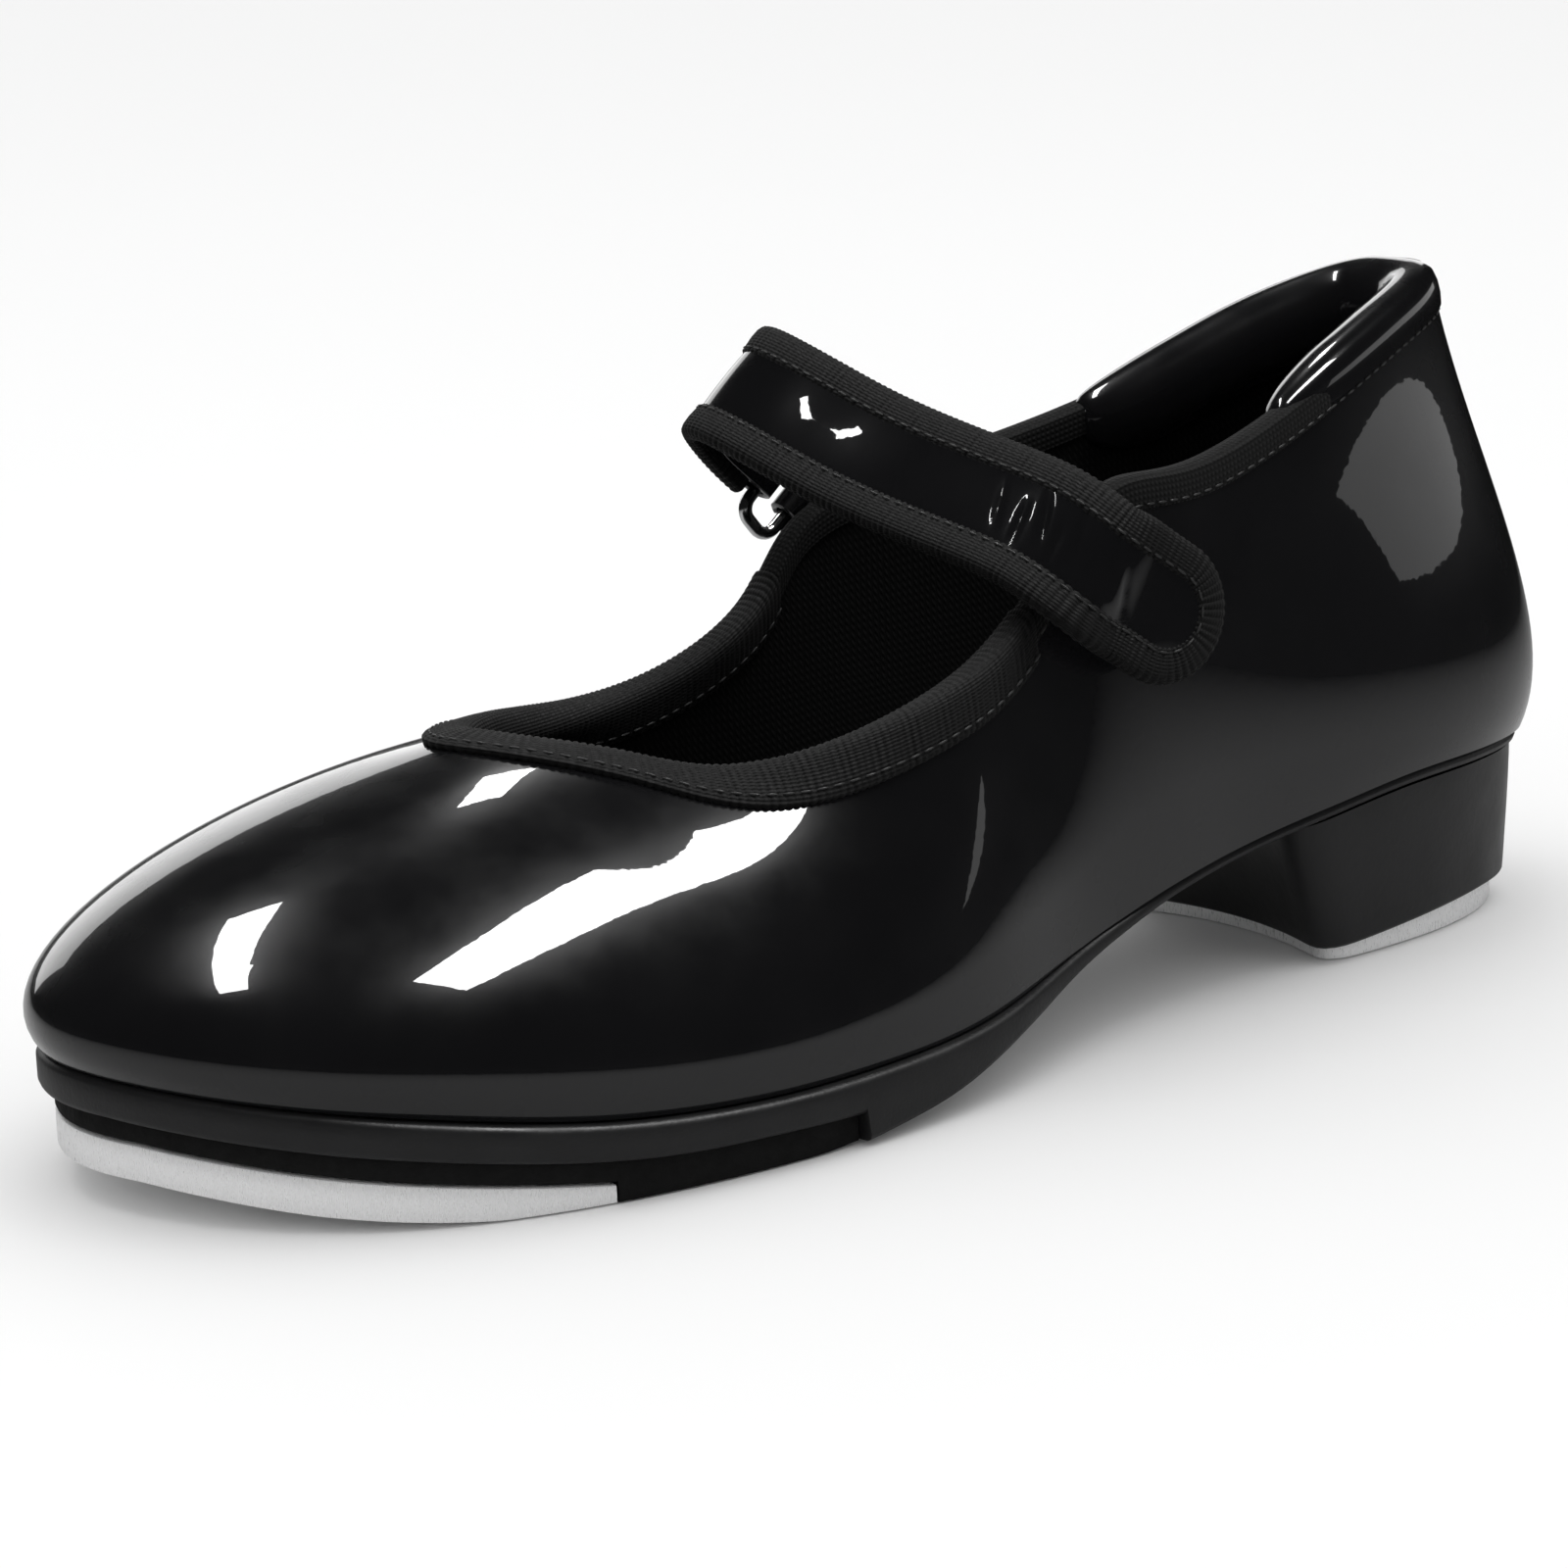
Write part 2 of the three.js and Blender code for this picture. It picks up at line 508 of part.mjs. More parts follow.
// ---- Sole, inner and outer ----
const seatAt = (x) => heightAt(SEAT, x);
const flareAt = (x) => heightAt(SOLE_FLARE, x);
const recessAt = (x) => heightAt(RECESS_TOP, x);
const soleBottomAt = (x) => heightAt(SOLE_BOTTOM, x);
const tapBottomAt = (x) => Math.max(0, heightAt(TAP_BOTTOM, x));
function addSole() {
  const n = 4;
  const top = (x) => seatAt(x) - GAP;
  const front = layer({ from: FLEX_X + GAP / 2, flare: flareAt, bottom: recessAt, top });
  add('sole_unit_front', front, 'sole');
  const step = HALF_SOLE_REAR_X - GAP;
  const rear = layer({ to: step, flare: flareAt, bottom: soleBottomAt, top, n: 22 });
  const bridge = layer({ from: step - 0.5, to: FLEX_X - GAP / 2, flare: flareAt, bottom: recessAt, top, n });
  add('sole_unit_rear', pierced(join(rear, bridge), NAILS.map(nailHole)), 'sole');
  const inset = (x) => flareAt(x) - TAP_INSET;
  const halfTop = (x) => recessAt(x) - GAP;
  const halfBottom = (x) => Math.max(0, heightAt(HALF_SOLE_BOTTOM, x));
  const heelEnd = layer({ from: HALF_SOLE_REAR_X, to: FLEX_X - GAP / 2, flare: inset, bottom: halfBottom,
    top: halfTop, n });
  add('half_sole_rear', heelEnd, 'halfSole');
  const tapSeat = (x) => heightAt(TAP_TOP, x) + GAP;
  const pad = layer({ from: FLEX_X + GAP / 2, to: TAP_REAR_X - GAP, flare: inset, bottom: halfBottom,
    top: halfTop, n });
  const nose = layer({ from: TAP_REAR_X - GAP - 0.5, flare: inset, bottom: tapSeat, top: halfTop });
  const toeHole = (spot) => screwClearance(spot, tapBottomAt(spot[0]) + 0.2, TOE_SCREW_LENGTH);
  add('half_sole_front', pierced(join(pad, nose), TOE_SCREWS.map(toeHole)), 'halfSole');
  const inside = -(LINING_FACE + 1);
  const lift = (h) => (x) => seatAt(x) + h;
  const board = { bottom: lift(BOARD_LIFT), top: lift(BOARD_LIFT + BOARD_THICK), flare: inside };
  const boardSolid = layer({ ...board, n: 22 });
  add('insole_board_front', common(boardSolid, aheadOfFlex), 'board');
  add('insole_board_rear', common(boardSolid, behindFlex), 'board');
  const bedLift = BOARD_LIFT + BOARD_THICK + GAP;
  const bed = layer({ bottom: lift(bedLift), top: lift(bedLift + FOOTBED_THICK), flare: inside, n: 22 });
  add('footbed_front', common(bed, aheadOfFlex), 'lining');
  add('footbed_rear', common(bed, behindFlex), 'lining');
  const filler = layer({ from: 158, to: 204, flare: -9, bottom: lift(0.1), top: lift(1.2), n: 8 });
  add('bottom_filler', filler, 'foam');
  const shank = steps(28, 128, 10).map((x) => [[-6, 0.1], [6, 0.1], [6, 1.1], [-6, 1.1]]
    .map(([y, h]) => new THREE.Vector3(x, y + 2, seatAt(x) + h)));
  add('shank', loft(shank, false, [1, 2]), 'steel');
}

// ---- Heel ----
function evenly(points, count) {
  return steps(0, points.length - 1, count - 1).map((f) => {
    const i = Math.min(Math.floor(f), points.length - 2);
    return points[i].clone().lerp(points[i + 1], f - i);
  });
}

// The plan of the heel: round at the back, with a hollow breast in front.
function heelPlan(inset, front) {
  const loop = outline(-inset);
  const shoulder = front - 3;
  const first = loop.findIndex((p) => p.x >= shoulder);
  const rear = [...loop.slice(first), ...loop.slice(0, first)].filter((p) => p.x < shoulder);
  const [medial, lateral] = widthAt(loop, shoulder);
  const breast = steps(0.04, 0.96, 8).map((f) => new THREE.Vector3(
    front - BREAST_HOLLOW * (1 - (2 * f - 1) ** 2), lateral + (medial - lateral) * f, 0));
  return [...evenly(rear, 26), ...breast];
}

const heelLowAt = (x) => heightAt(HEEL_BOTTOM, x);

// One level of the heel block: s is 0 at its foot and 1 at its top.
function heelRing(s) {
  const plan = heelPlan(HEEL_INSET + HEEL_TAPER * (1 - s), HEEL_BREAST_TOP_X - HEEL_BREAST_LEAN * (1 - s));
  return plan.map((p) => {
    const low = heelLowAt(p.x);
    const high = soleBottomAt(p.x) - GAP;
    return new THREE.Vector3(p.x, p.y, low + (high - low) * s);
  });
}

function addHeel() {
  const rings = [0, 0.5, 1].map(heelRing);
  const screwHoles = HEEL_SCREWS.map((spot) => screwClearance(spot, HEAD_LIFT, HEEL_SCREW_LENGTH));
  add('heel_block', pierced(loft(rings), [...screwHoles, ...NAILS.map(nailHole)]), 'heel');
}

// ---- Taps, screws and nails ----
function addTaps() {
  const toeZ = (x) => tapBottomAt(x) + HEAD_LIFT;
  const inset = (x) => flareAt(x) - TAP_INSET;
  const toeTap = layer({ from: TAP_REAR_X, flare: inset, bottom: tapBottomAt,
    top: (x) => heightAt(TAP_TOP, x) });
  const toeHoles = TOE_SCREWS.map((spot) => screwClearance(spot, toeZ(spot[0]), TOE_SCREW_LENGTH));
  add('toe_tap', pierced(toeTap, toeHoles), 'aluminium');
  TOE_SCREWS.forEach((spot, i) => {
    add(`toe_tap_screw_${i + 1}`, screw(spot, toeZ(spot[0]), TOE_SCREW_LENGTH), 'steel');
  });
  const plan = heelPlan(HEEL_INSET + HEEL_TAPER + TAP_INSET, HEEL_TAP_FRONT_X);
  const faces = [() => 0, (x) => heelLowAt(x) - 0.5];
  const rings = faces.map((zAt) => plan.map((p) => new THREE.Vector3(p.x, p.y, zAt(p.x))));
  const heelHoles = HEEL_SCREWS.map((spot) => screwClearance(spot, HEAD_LIFT, HEEL_SCREW_LENGTH));
  add('heel_tap', pierced(loft(rings), heelHoles), 'aluminium');
  HEEL_SCREWS.forEach((spot, i) => {
    add(`heel_tap_screw_${i + 1}`, screw(spot, HEAD_LIFT, HEEL_SCREW_LENGTH), 'steel');
  });
}

// ---- Ring, keeper, strap and tab ----
const slant = vec(STRAP_SLANT).normalize();
const ringLow = vec(RING_LOWER);
const ringHigh = vec(RING_UPPER);
const ringUp = ringHigh.clone().sub(ringLow).normalize();
const ringFace = slant.clone().cross(ringUp).normalize();
const circle = (n) => steps(0, Math.PI * 2, n).slice(0, -1).map((a) => [Math.cos(a), Math.sin(a)]);

// A straight bar or tube along the ring's long direction.
function bar(centre, radius, half, sides = 12) {
  const p = slant.clone().cross(ringFace).normalize();
  const around = (s) => circle(sides).map(([c, d]) => centre.clone().addScaledVector(slant, s)
    .addScaledVector(p, c * radius).addScaledVector(ringFace, d * radius));
  return loft([-half, half].map(around), false, [1, 2]);
}

function addRing() {
  const corner = 2;
  const halfHigh = ringHigh.distanceTo(ringLow) / 2;
  const centre = ringHigh.clone().add(ringLow).multiplyScalar(0.5);
  const rings = [];
  for (const [sx, sy, from] of [[1, 1, 0], [-1, 1, 0.5], [-1, -1, 1], [1, -1, 1.5]]) {
    for (const a of steps(from * Math.PI, (from + 0.5) * Math.PI, 4)) {
      const out = slant.clone().multiplyScalar(Math.cos(a)).addScaledVector(ringUp, Math.sin(a));
      const at = centre.clone().addScaledVector(slant, sx * (RING_HALF - corner))
        .addScaledVector(ringUp, sy * (halfHigh - corner)).addScaledVector(out, corner);
      rings.push(circle(8).map(([c, d]) => at.clone().addScaledVector(out, c * WIRE_R)
        .addScaledVector(ringFace, d * WIRE_R)));
    }
  }
  add('ring', loft(rings, true), 'steel');
  const tongue = edgePiece([[3.7, 9], [3.7, -1.8], [2.5, -1.8], [2.5, 9]], 22.3, 23.3);
  const keeper = join(tongue, bar(ringLow, LOOP_OUTER_R - 0.2, 6.5));
  add('ring_keeper', cut(keeper, bar(ringLow, WIRE_R + GAP, 12)), 'patent');
}

const strapCurve = new THREE.CatmullRomCurve3(STRAP_LINE.map(vec), false, 'catmullrom', 0.5);
const knee = vec(STRAP_LINE.at(-1));
const KNEE_GAP = 1.4;             // the strap stops this far short of its knee

function strapRing(t, a0, a1, half) {
  const p = strapCurve.getPointAt(t);
  const along = strapCurve.getTangentAt(t);
  const across = slant.clone().addScaledVector(along, -slant.dot(along)).normalize();
  const out = across.clone().cross(along);
  return [[a0, -half], [a1, -half], [a1, half], [a0, half]].map(([a, b]) => p.clone()
    .addScaledVector(across, a).addScaledVector(out, b));
}

function strapBar(a0, a1, half, from) {
  const length = strapCurve.getLength();
  const stations = steps(from / length, 1 - KNEE_GAP / length, 20);
  return loft(stations.map((t) => strapRing(t, a0, a1, half)), false, [0, 2]);
}

function addStrap() {
  const core = join(strapBar(-STRAP_HALF_CORE, STRAP_HALF_CORE, STRAP_HALF_THICK, 1.9),
    bar(ringHigh, LOOP_OUTER_R, 7.5));
  add('strap_core', cut(core, bar(ringHigh, LOOP_INNER_R, 12)), 'patent');
  const inner = STRAP_HALF_CORE + GAP;
  add('strap_binding_front', strapBar(inner, STRAP_HALF, STRAP_BINDING_HALF_THICK, 3.4), 'ribbon');
  add('strap_binding_rear', strapBar(-STRAP_HALF, -inner, STRAP_BINDING_HALF_THICK, 3.4), 'ribbon');
}

const tabDown = vec(STRAP_END).sub(knee).normalize();
const tabAcross = slant.clone().addScaledVector(tabDown, -slant.dot(tabDown)).normalize();
const tabOut = tabAcross.clone().cross(tabDown).normalize();

function tabPlate(outline2d, low, high) {
  const face = (b) => outline2d.map(([a, s]) => knee.clone().addScaledVector(tabAcross, a)
    .addScaledVector(tabDown, s).addScaledVector(tabOut, b));
  return loft([low, high].map(face), false, [0, 2]);
}

const roundEnd = (r) => steps(0, Math.PI, 10).map((a) => [r * Math.cos(a), TAB_REACH + r * Math.sin(a)]);

function addTab() {
  const start = 2;
  const core = [[STRAP_HALF_CORE, start], ...roundEnd(STRAP_HALF_CORE), [-STRAP_HALF_CORE, start]];
  add('tab_core', tabPlate(core, -STRAP_HALF_THICK, STRAP_HALF_THICK), 'patent');
  const inner = STRAP_HALF_CORE + GAP;
  const rim = [[STRAP_HALF, start], ...roundEnd(STRAP_HALF), [-STRAP_HALF, start], [-inner, start],
    ...roundEnd(inner).toReversed(), [inner, start]];
  add('tab_binding', tabPlate(rim, -STRAP_BINDING_HALF_THICK, STRAP_BINDING_HALF_THICK), 'ribbon');
  const patch = [[6, 4], [6, TAB_REACH + 3], [-6, TAB_REACH + 3], [-6, 4]];
  const under = -STRAP_BINDING_HALF_THICK - GAP;
  add('hook_patch', tabPlate(patch, under - 0.7, under), 'hookLoop');
  add('loop_patch', wallShell(-1.2, 0.9, steps(0.6, 0.8, 2), 4.7, 5.5), 'hookLoop');
}

function addNails() {
  NAILS.forEach((spot, i) => add(`heel_nail_${i + 1}`, nail(spot), 'steel'));
}

addUpper();
addBindings();
addSole();
addHeel();
addTaps();
addNails();
addRing();
addStrap();
addTab();

export default shoe;
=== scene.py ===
"""A black patent tap shoe with a strap over the instep, dressed around its packed CAD frame."""

import functools
import math

import bmesh
import bpy
import numpy as np
from bpy.props import FloatProperty, FloatVectorProperty, IntProperty, PointerProperty
from mathutils import Matrix, Vector


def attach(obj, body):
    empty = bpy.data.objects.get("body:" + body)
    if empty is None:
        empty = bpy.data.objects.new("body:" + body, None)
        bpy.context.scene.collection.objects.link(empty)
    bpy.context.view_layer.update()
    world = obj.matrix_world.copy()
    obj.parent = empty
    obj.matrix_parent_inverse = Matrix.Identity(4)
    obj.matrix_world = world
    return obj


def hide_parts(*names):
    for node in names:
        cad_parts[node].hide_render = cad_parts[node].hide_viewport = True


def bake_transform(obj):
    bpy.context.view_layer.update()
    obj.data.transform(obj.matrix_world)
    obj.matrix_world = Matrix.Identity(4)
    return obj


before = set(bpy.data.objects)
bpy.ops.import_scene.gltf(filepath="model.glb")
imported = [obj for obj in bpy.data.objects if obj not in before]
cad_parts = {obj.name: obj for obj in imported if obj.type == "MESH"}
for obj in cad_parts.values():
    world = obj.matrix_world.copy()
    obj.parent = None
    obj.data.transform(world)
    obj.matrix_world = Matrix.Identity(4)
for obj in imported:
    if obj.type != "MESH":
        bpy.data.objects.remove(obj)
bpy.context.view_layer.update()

bl_info = {
    "name": "Patent Tap Shoe",
    "version": (1, 0, 0),
    "blender": (4, 5, 0),
    "location": "View3D > Sidebar > Tap Shoe",
    "description": "Builds the upper, bindings, strap, sole, heel and taps of a patent tap shoe",
    "category": "Object",
}

# ---- Form of the shoe, in millimetres from the back of the heel; shared with the CAD ----
MM = 0.001
CENTRE = np.array([111.2, 1.95, 0.0])

SEAT = [(0, 24), (20, 24.8), (36, 24.6), (52, 22.6), (65, 20.6), (78, 18.2), (92, 15), (106, 12),
        (120, 9.9), (136, 9), (155, 8.9), (175, 10.2), (198, 13.6), (222, 17.3)]

# Sections of the upper from the feather edge to the top edge, heel to toe on the lateral side:
# foot x, y; top x, y, z; lean out of the foot, its height; lean out of the top, its drop.
LATERAL = [
    (0.8, 2, 13, 0, 85.5, 7, 14, 5, 24),
    (5.5, 14.5, 16, 9.5, 85.2, 6.5, 14, 4, 22),
    (20, 23, 30, 17, 82.3, 6, 14, 3, 20),
    (40, 26.3, 48, 22.3, 76.8, 5, 14, 1.5, 20),
    (62, 26.5, 72, 26.5, 70.5, 4, 14, 0, 20),
    (76, 27.5, 87.5, 28.2, 70, 3.5, 14, 0, 20),
    (88, 29, 97, 28.3, 61.5, 3, 14, 0, 15),
    (101, 32, 106, 29.2, 53.3, 2, 12, 0, 12),
    (117, 37.5, 117, 30.6, 49, 1.5, 11, 1, 10),
    (137, 41, 131, 28, 45, 2.5, 11, 3, 8),
    (160, 41.5, 144, 21, 43, 4, 12, 8, 6),
    (184, 37.5, 153, 12.5, 45, 6, 13, 15, 6),
    (204, 28, 160, 4.5, 46.5, 8, 13, 21, 4),
    (217, 13, 163, 0, 47, 9, 12, 28, 4),
]
TOE = (222, -5, 164, -3, 47, 9, 12, 31, 4.5)
MEDIAL = [
    (216, -20.5, 163, -6, 46.5, 9, 12, 28, 4),
    (202, -32, 160, -10, 46, 8, 13, 21, 4),
    (181, -37, 153, -16, 45, 6, 13, 15, 5),
    (157, -37.5, 143, -21.5, 43.5, 5, 12, 8, 6),
    (136, -33, 130, -25.5, 42.5, 4, 12, 3, 8),
    (118, -27, 117, -27, 44.5, 4, 12, 2, 10),
    (102, -24, 105, -28.5, 50, 4, 12, 1, 12),
    (90, -22.5, 98, -29, 58, 4, 13, 1, 14),
    (78, -22.5, 88, -28.5, 63, 4, 14, 1, 16),
    (60, -23, 68, -26.5, 66.5, 4, 14, 1, 18),
    (38, -23.7, 46, -22.5, 72, 5, 14, 1.5, 18),
    (19, -20, 30, -17, 79.2, 6, 14, 3, 20),
    (5.2, -11, 16, -9.5, 84.2, 6.5, 14, 4, 22),
]
SECTIONS = np.array([*LATERAL, TOE, *MEDIAL], float)
STATIONS = len(SECTIONS)
TOE_U = len(LATERAL)
THROAT_START_U = 6.6
THROAT_END_U = 21.4
COLLAR_U = 3.2

SOLE_BOTTOM = [(0, 22), (20, 22.8), (36, 22.6), (52, 20.6), (65, 18.6), (78, 16.2), (88, 13.6),
               (97, 11.2), (106, 8.6), (113, 6.6), (126, 2.8), (141, 0.4)]
RECESS_TOP = [(141, 4), (150, 4.2), (172, 5), (198, 8.6), (221, 12.2)]
HALF_SOLE_BOTTOM = [(141, 0.4), (147, 0), (175, 0)]
TAP_BOTTOM = [(175, 0), (188, 0), (205, 1.8), (220, 4.6)]
TAP_TOP = [(175, 2.2), (190, 4.2), (205, 6.4), (220, 9)]
SOLE_FLARE = [(0, -0.8), (50, -0.8), (80, -0.3), (100, 0.8), (120, 1.5), (190, 1.4), (222, 0.3)]
HEEL_BOTTOM = [(0, 3.2), (20, 4), (50, 2)]
HALF_SOLE_REAR_X = 141
TAP_REAR_X = 175
TAP_INSET = 1.8
HEEL_BREAST_TOP_X = 57
HEEL_BREAST_LEAN = 6
BREAST_HOLLOW = 4
HEEL_INSET = 1.5
HEEL_TAPER = 1.2
HEEL_TAP_FRONT_X = 49
TOE_SCREWS = [(182, 21), (182, -23), (204, 14), (204, -18)]
HEEL_SCREWS = [(14, 0), (38, 12), (38, -10)]

UPPER_THICK = 1.2
LINING_IN = 2.5
LINING_THICK = 0.7
GAP = 0.3

STRAP_LINE = [(94, -31.8, 69), (99.5, -31.7, 74), (105, -28.8, 79.2), (107, -21, 79.6), (106, -12, 77),
              (104, -3, 73.8), (102, 8, 71), (100.2, 19.3, 68.7), (98.4, 28, 66.2), (95.3, 33.8, 62)]
STRAP_END = (85.3, 35.2, 54.7)
STRAP_SLANT = (0.76, 0, -0.65)
RING_LOWER = (89.9, -32.3, 64.2)
RING_UPPER = (94, -31.8, 69)
RING_HALF = 10.6
TAB_REACH = 11
STRAP_CORE_HALF = 5.6


def row(points):
    """Millimetres from the back of the heel to metres in the row frame."""
    return (np.asarray(points, float) - CENTRE) * MM


def unit(v):
    v = np.asarray(v, float)
    return v / np.linalg.norm(v, axis=-1, keepdims=True)


# ---- Curves ----
def height_at(points, x):
    """A smooth height through (x, height) points, level with its neighbours' slopes."""
    px, py = np.array(points, float).T
    slope = np.gradient(py, px)
    slope[1:-1] = (py[2:] - py[:-2]) / (px[2:] - px[:-2])
    x = np.asarray(x, float)
    i = np.clip(np.searchsorted(px, x, "right") - 1, 0, len(px) - 2)
    h = px[i + 1] - px[i]
    f = np.clip((x - px[i]) / h, 0, 1)
    g = 1 - f
    bend = h * f * g * (slope[i] * g - slope[i + 1] * f)
    return py[i] * g * g * (1 + 2 * f) + py[i + 1] * f * f * (3 - 2 * f) + bend


def bending(values, periodic):
    """Second differences of the smooth cubic through evenly spaced values."""
    n = len(values)
    a = 4 * np.eye(n) + np.eye(n, k=1) + np.eye(n, k=-1)
    rhs = 6 * (np.roll(values, -1, 0) - 2 * values + np.roll(values, 1, 0))
    if periodic:
        a[0, -1] = a[-1, 0] = 1
    else:
        a[0, :2] = (1, 0)
        a[-1, -2:] = (0, 1)
        rhs[0] = 0
        rhs[-1] = 0
    return np.linalg.solve(a, rhs)


SECTION_BEND = bending(SECTIONS, True)


def cubic(values, bend, i, j, f):
    f = f[..., None]
    g = 1 - f
    return g * values[i] + f * values[j] + ((g**3 - g) * bend[i] + (f**3 - f) * bend[j]) / 6


def section_at(u):
    u = np.asarray(u, float)
    base = np.floor(u).astype(int)
    return cubic(SECTIONS, SECTION_BEND, base % STATIONS, (base + 1) % STATIONS, u - base)


def foot_outward(u):
    d = section_at(u + 0.02)[..., :2] - section_at(u - 0.02)[..., :2]
    return unit(np.stack([-d[..., 1], d[..., 0], np.zeros(d.shape[:-1])], -1))


def outer_face(u, v):
    """The outer face of the upper: u runs round the shoe from the back seam, v from sole to edge."""
    u, v = np.broadcast_arrays(np.asarray(u, float), np.asarray(v, float))
    s = section_at(u)
    n = foot_outward(u)
    up = np.array([0, 0, 1.0])
    p0 = np.stack([s[..., 0], s[..., 1], height_at(SEAT, s[..., 0])], -1)
    p3 = s[..., 2:5]
    p1 = p0 + n * s[..., 5:6] + up * s[..., 6:7]
    p2 = p3 + n * s[..., 7:8] - up * s[..., 8:9]
    v = v[..., None]
    w = 1 - v
    return w**3 * p0 + 3 * w * w * v * p1 + 3 * w * v * v * p2 + v**3 * p3


def face_frame(u, v):
    e = 0.02
    u, v = np.broadcast_arrays(np.asarray(u, float), np.asarray(v, float))
    along = unit(outer_face(u + e, v) - outer_face(u - e, v))
    up = unit(outer_face(u, np.minimum(v + e, 1)) - outer_face(u, np.maximum(v - e, 0)))
    return along, up, unit(np.cross(up, along))


def wall(u, v, depth=0.0):
    normal = face_frame(u, v)[2]
    return outer_face(u, v) - normal * np.asarray(depth, float)[..., None]


def edge_point(u, out, down):
    """A point near the top edge, out from the face, and down the wall or, if negative, above it."""
    u, out, down = np.broadcast_arrays(*(np.asarray(k, float) for k in (u, out, down)))
    near = 0.1
    speed = np.linalg.norm(outer_face(u, 1.0) - outer_face(u, 1 - near), axis=-1) / near
    v = np.clip(1 - np.maximum(down, 0) / speed, 0, 1)
    up = face_frame(u, np.ones_like(u))[1]
    return wall(u, v, -out) + up * np.maximum(-down, 0)[..., None]


def length_along(points):
    step = np.linalg.norm(np.diff(points, axis=0), axis=1)
    return np.concatenate([[0], np.cumsum(step)])


def even_u(u0, u1, step, v=1.0, depth=0.0):
    """Stations between u0 and u1, spaced evenly by distance, and their distances in metres."""
    u = np.linspace(u0, u1, 600)
    d = length_along(wall(u, v, depth))
    n = max(2, int(round(d[-1] / step)) + 1)
    at = np.linspace(0, d[-1], n)
    return np.interp(at, d, u), at * MM


# ---- Meshes ----
def new_object(name, mesh):
    obj = bpy.data.objects.new(name, mesh)
    bpy.context.scene.collection.objects.link(obj)
    return obj


def smooth(mesh, angle=40):
    mesh.shade_smooth()
    mesh.set_sharp_from_angle(angle=math.radians(angle))


def merged(mesh, distance=2e-6):
    bm = bmesh.new()
    bm.from_mesh(mesh)
    bmesh.ops.remove_doubles(bm, verts=bm.verts, dist=distance)
    bmesh.ops.dissolve_degenerate(bm, edges=bm.edges, dist=1e-7)
    bm.to_mesh(mesh)
    bm.free()


def is_inside_out(rings, closed):
    a = rings if closed else rings[:-1]
    b = np.roll(rings, -1, 0) if closed else rings[1:]
    a1, b1 = np.roll(a, -1, 1), np.roll(b, -1, 1)
    volume = np.einsum("ijk,ijk->", a, np.cross(b, b1)) + np.einsum("ijk,ijk->", a, np.cross(b1, a1))
    if not closed:
        for ring, sign in ((rings[0], 1), (rings[-1], -1)):
            c = ring.mean(0)
            volume += sign * np.einsum("jk,jk->", ring, np.cross(np.roll(ring, -1, 0), c[None]))
    return volume < 0


def skin(name, rings, closed=False, along=None, across=None, sharp=40, weld=False):
    """A closed body over rings of points in millimetres, with its tape distances as a UV map."""
    rings = row(rings)
    n, m, _ = rings.shape
    along = np.zeros(n) if along is None else np.asarray(along)
    across = np.zeros(m) if across is None else np.asarray(across)
    if is_inside_out(rings, closed):
        rings, across = rings[:, ::-1], across[::-1]
    count = n if closed else n - 1
    i, j = np.meshgrid(np.arange(count), np.arange(m), indexing="ij")
    i2, j2 = (i + 1) % n, (j + 1) % m
    quads = np.stack([i * m + j, i2 * m + j, i2 * m + j2, i * m + j2], -1).reshape(-1, 4)
    faces = quads.tolist()
    if not closed:
        faces += [list(range(m)), list(range(n * m - 1, (n - 1) * m - 1, -1))]
    mesh = bpy.data.meshes.new(name)
    mesh.from_pydata(rings.reshape(-1, 3).tolist(), [], faces)
    uv = mesh.uv_layers.new(name="tape")
    end = along[-1] + (along[-1] - along[-2])
    next_along = np.append(along[1:], end)
    corners = np.zeros((len(mesh.loops), 2), np.float32)
    a0, a1 = along[i], (next_along if closed else along[1:])[i]
    c0, c1 = across[j], across[j2]
    corners[: quads.size] = np.stack([
        np.stack([a0, a1, a1, a0], -1).reshape(-1), np.stack([c0, c0, c1, c1], -1).reshape(-1)], -1)
    uv.data.foreach_set("uv", corners.reshape(-1))
    point_along = mesh.attributes.new("along", "FLOAT", "POINT")
    point_along.data.foreach_set("value", np.repeat(along, m).astype(np.float32))
    if weld:
        merged(mesh)
    smooth(mesh, sharp)
    return new_object(name, mesh)


def applied(obj):
    """The object with its modifiers worked into a plain mesh."""
    depsgraph = bpy.context.evaluated_depsgraph_get()
    mesh = bpy.data.meshes.new_from_object(obj.evaluated_get(depsgraph))
    mesh.name = obj.name
    obj.modifiers.clear()
    obj.data = mesh
    return obj


def pierce(obj, cutters):
    """Cuts the cutters out of obj and removes them."""
    for cutter in cutters:
        modifier = obj.modifiers.new("hole", "BOOLEAN")
        modifier.operation = "DIFFERENCE"
        modifier.solver = "EXACT"
        modifier.object = cutter
    applied(obj)
    for cutter in cutters:
        bpy.data.objects.remove(cutter)
    return obj


def finish(obj, name, slot, *nodes):
    """Gives a piece its material, its slot and the CAD nodes that it stands for."""
    obj.data.materials.clear()
    obj.data.materials.append(material(name))
    if nodes:
        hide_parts(*nodes)
    return obj


def bend_at_ball(obj):
    """Lets a piece crease at the ball of the foot."""
    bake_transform(obj)
    return obj


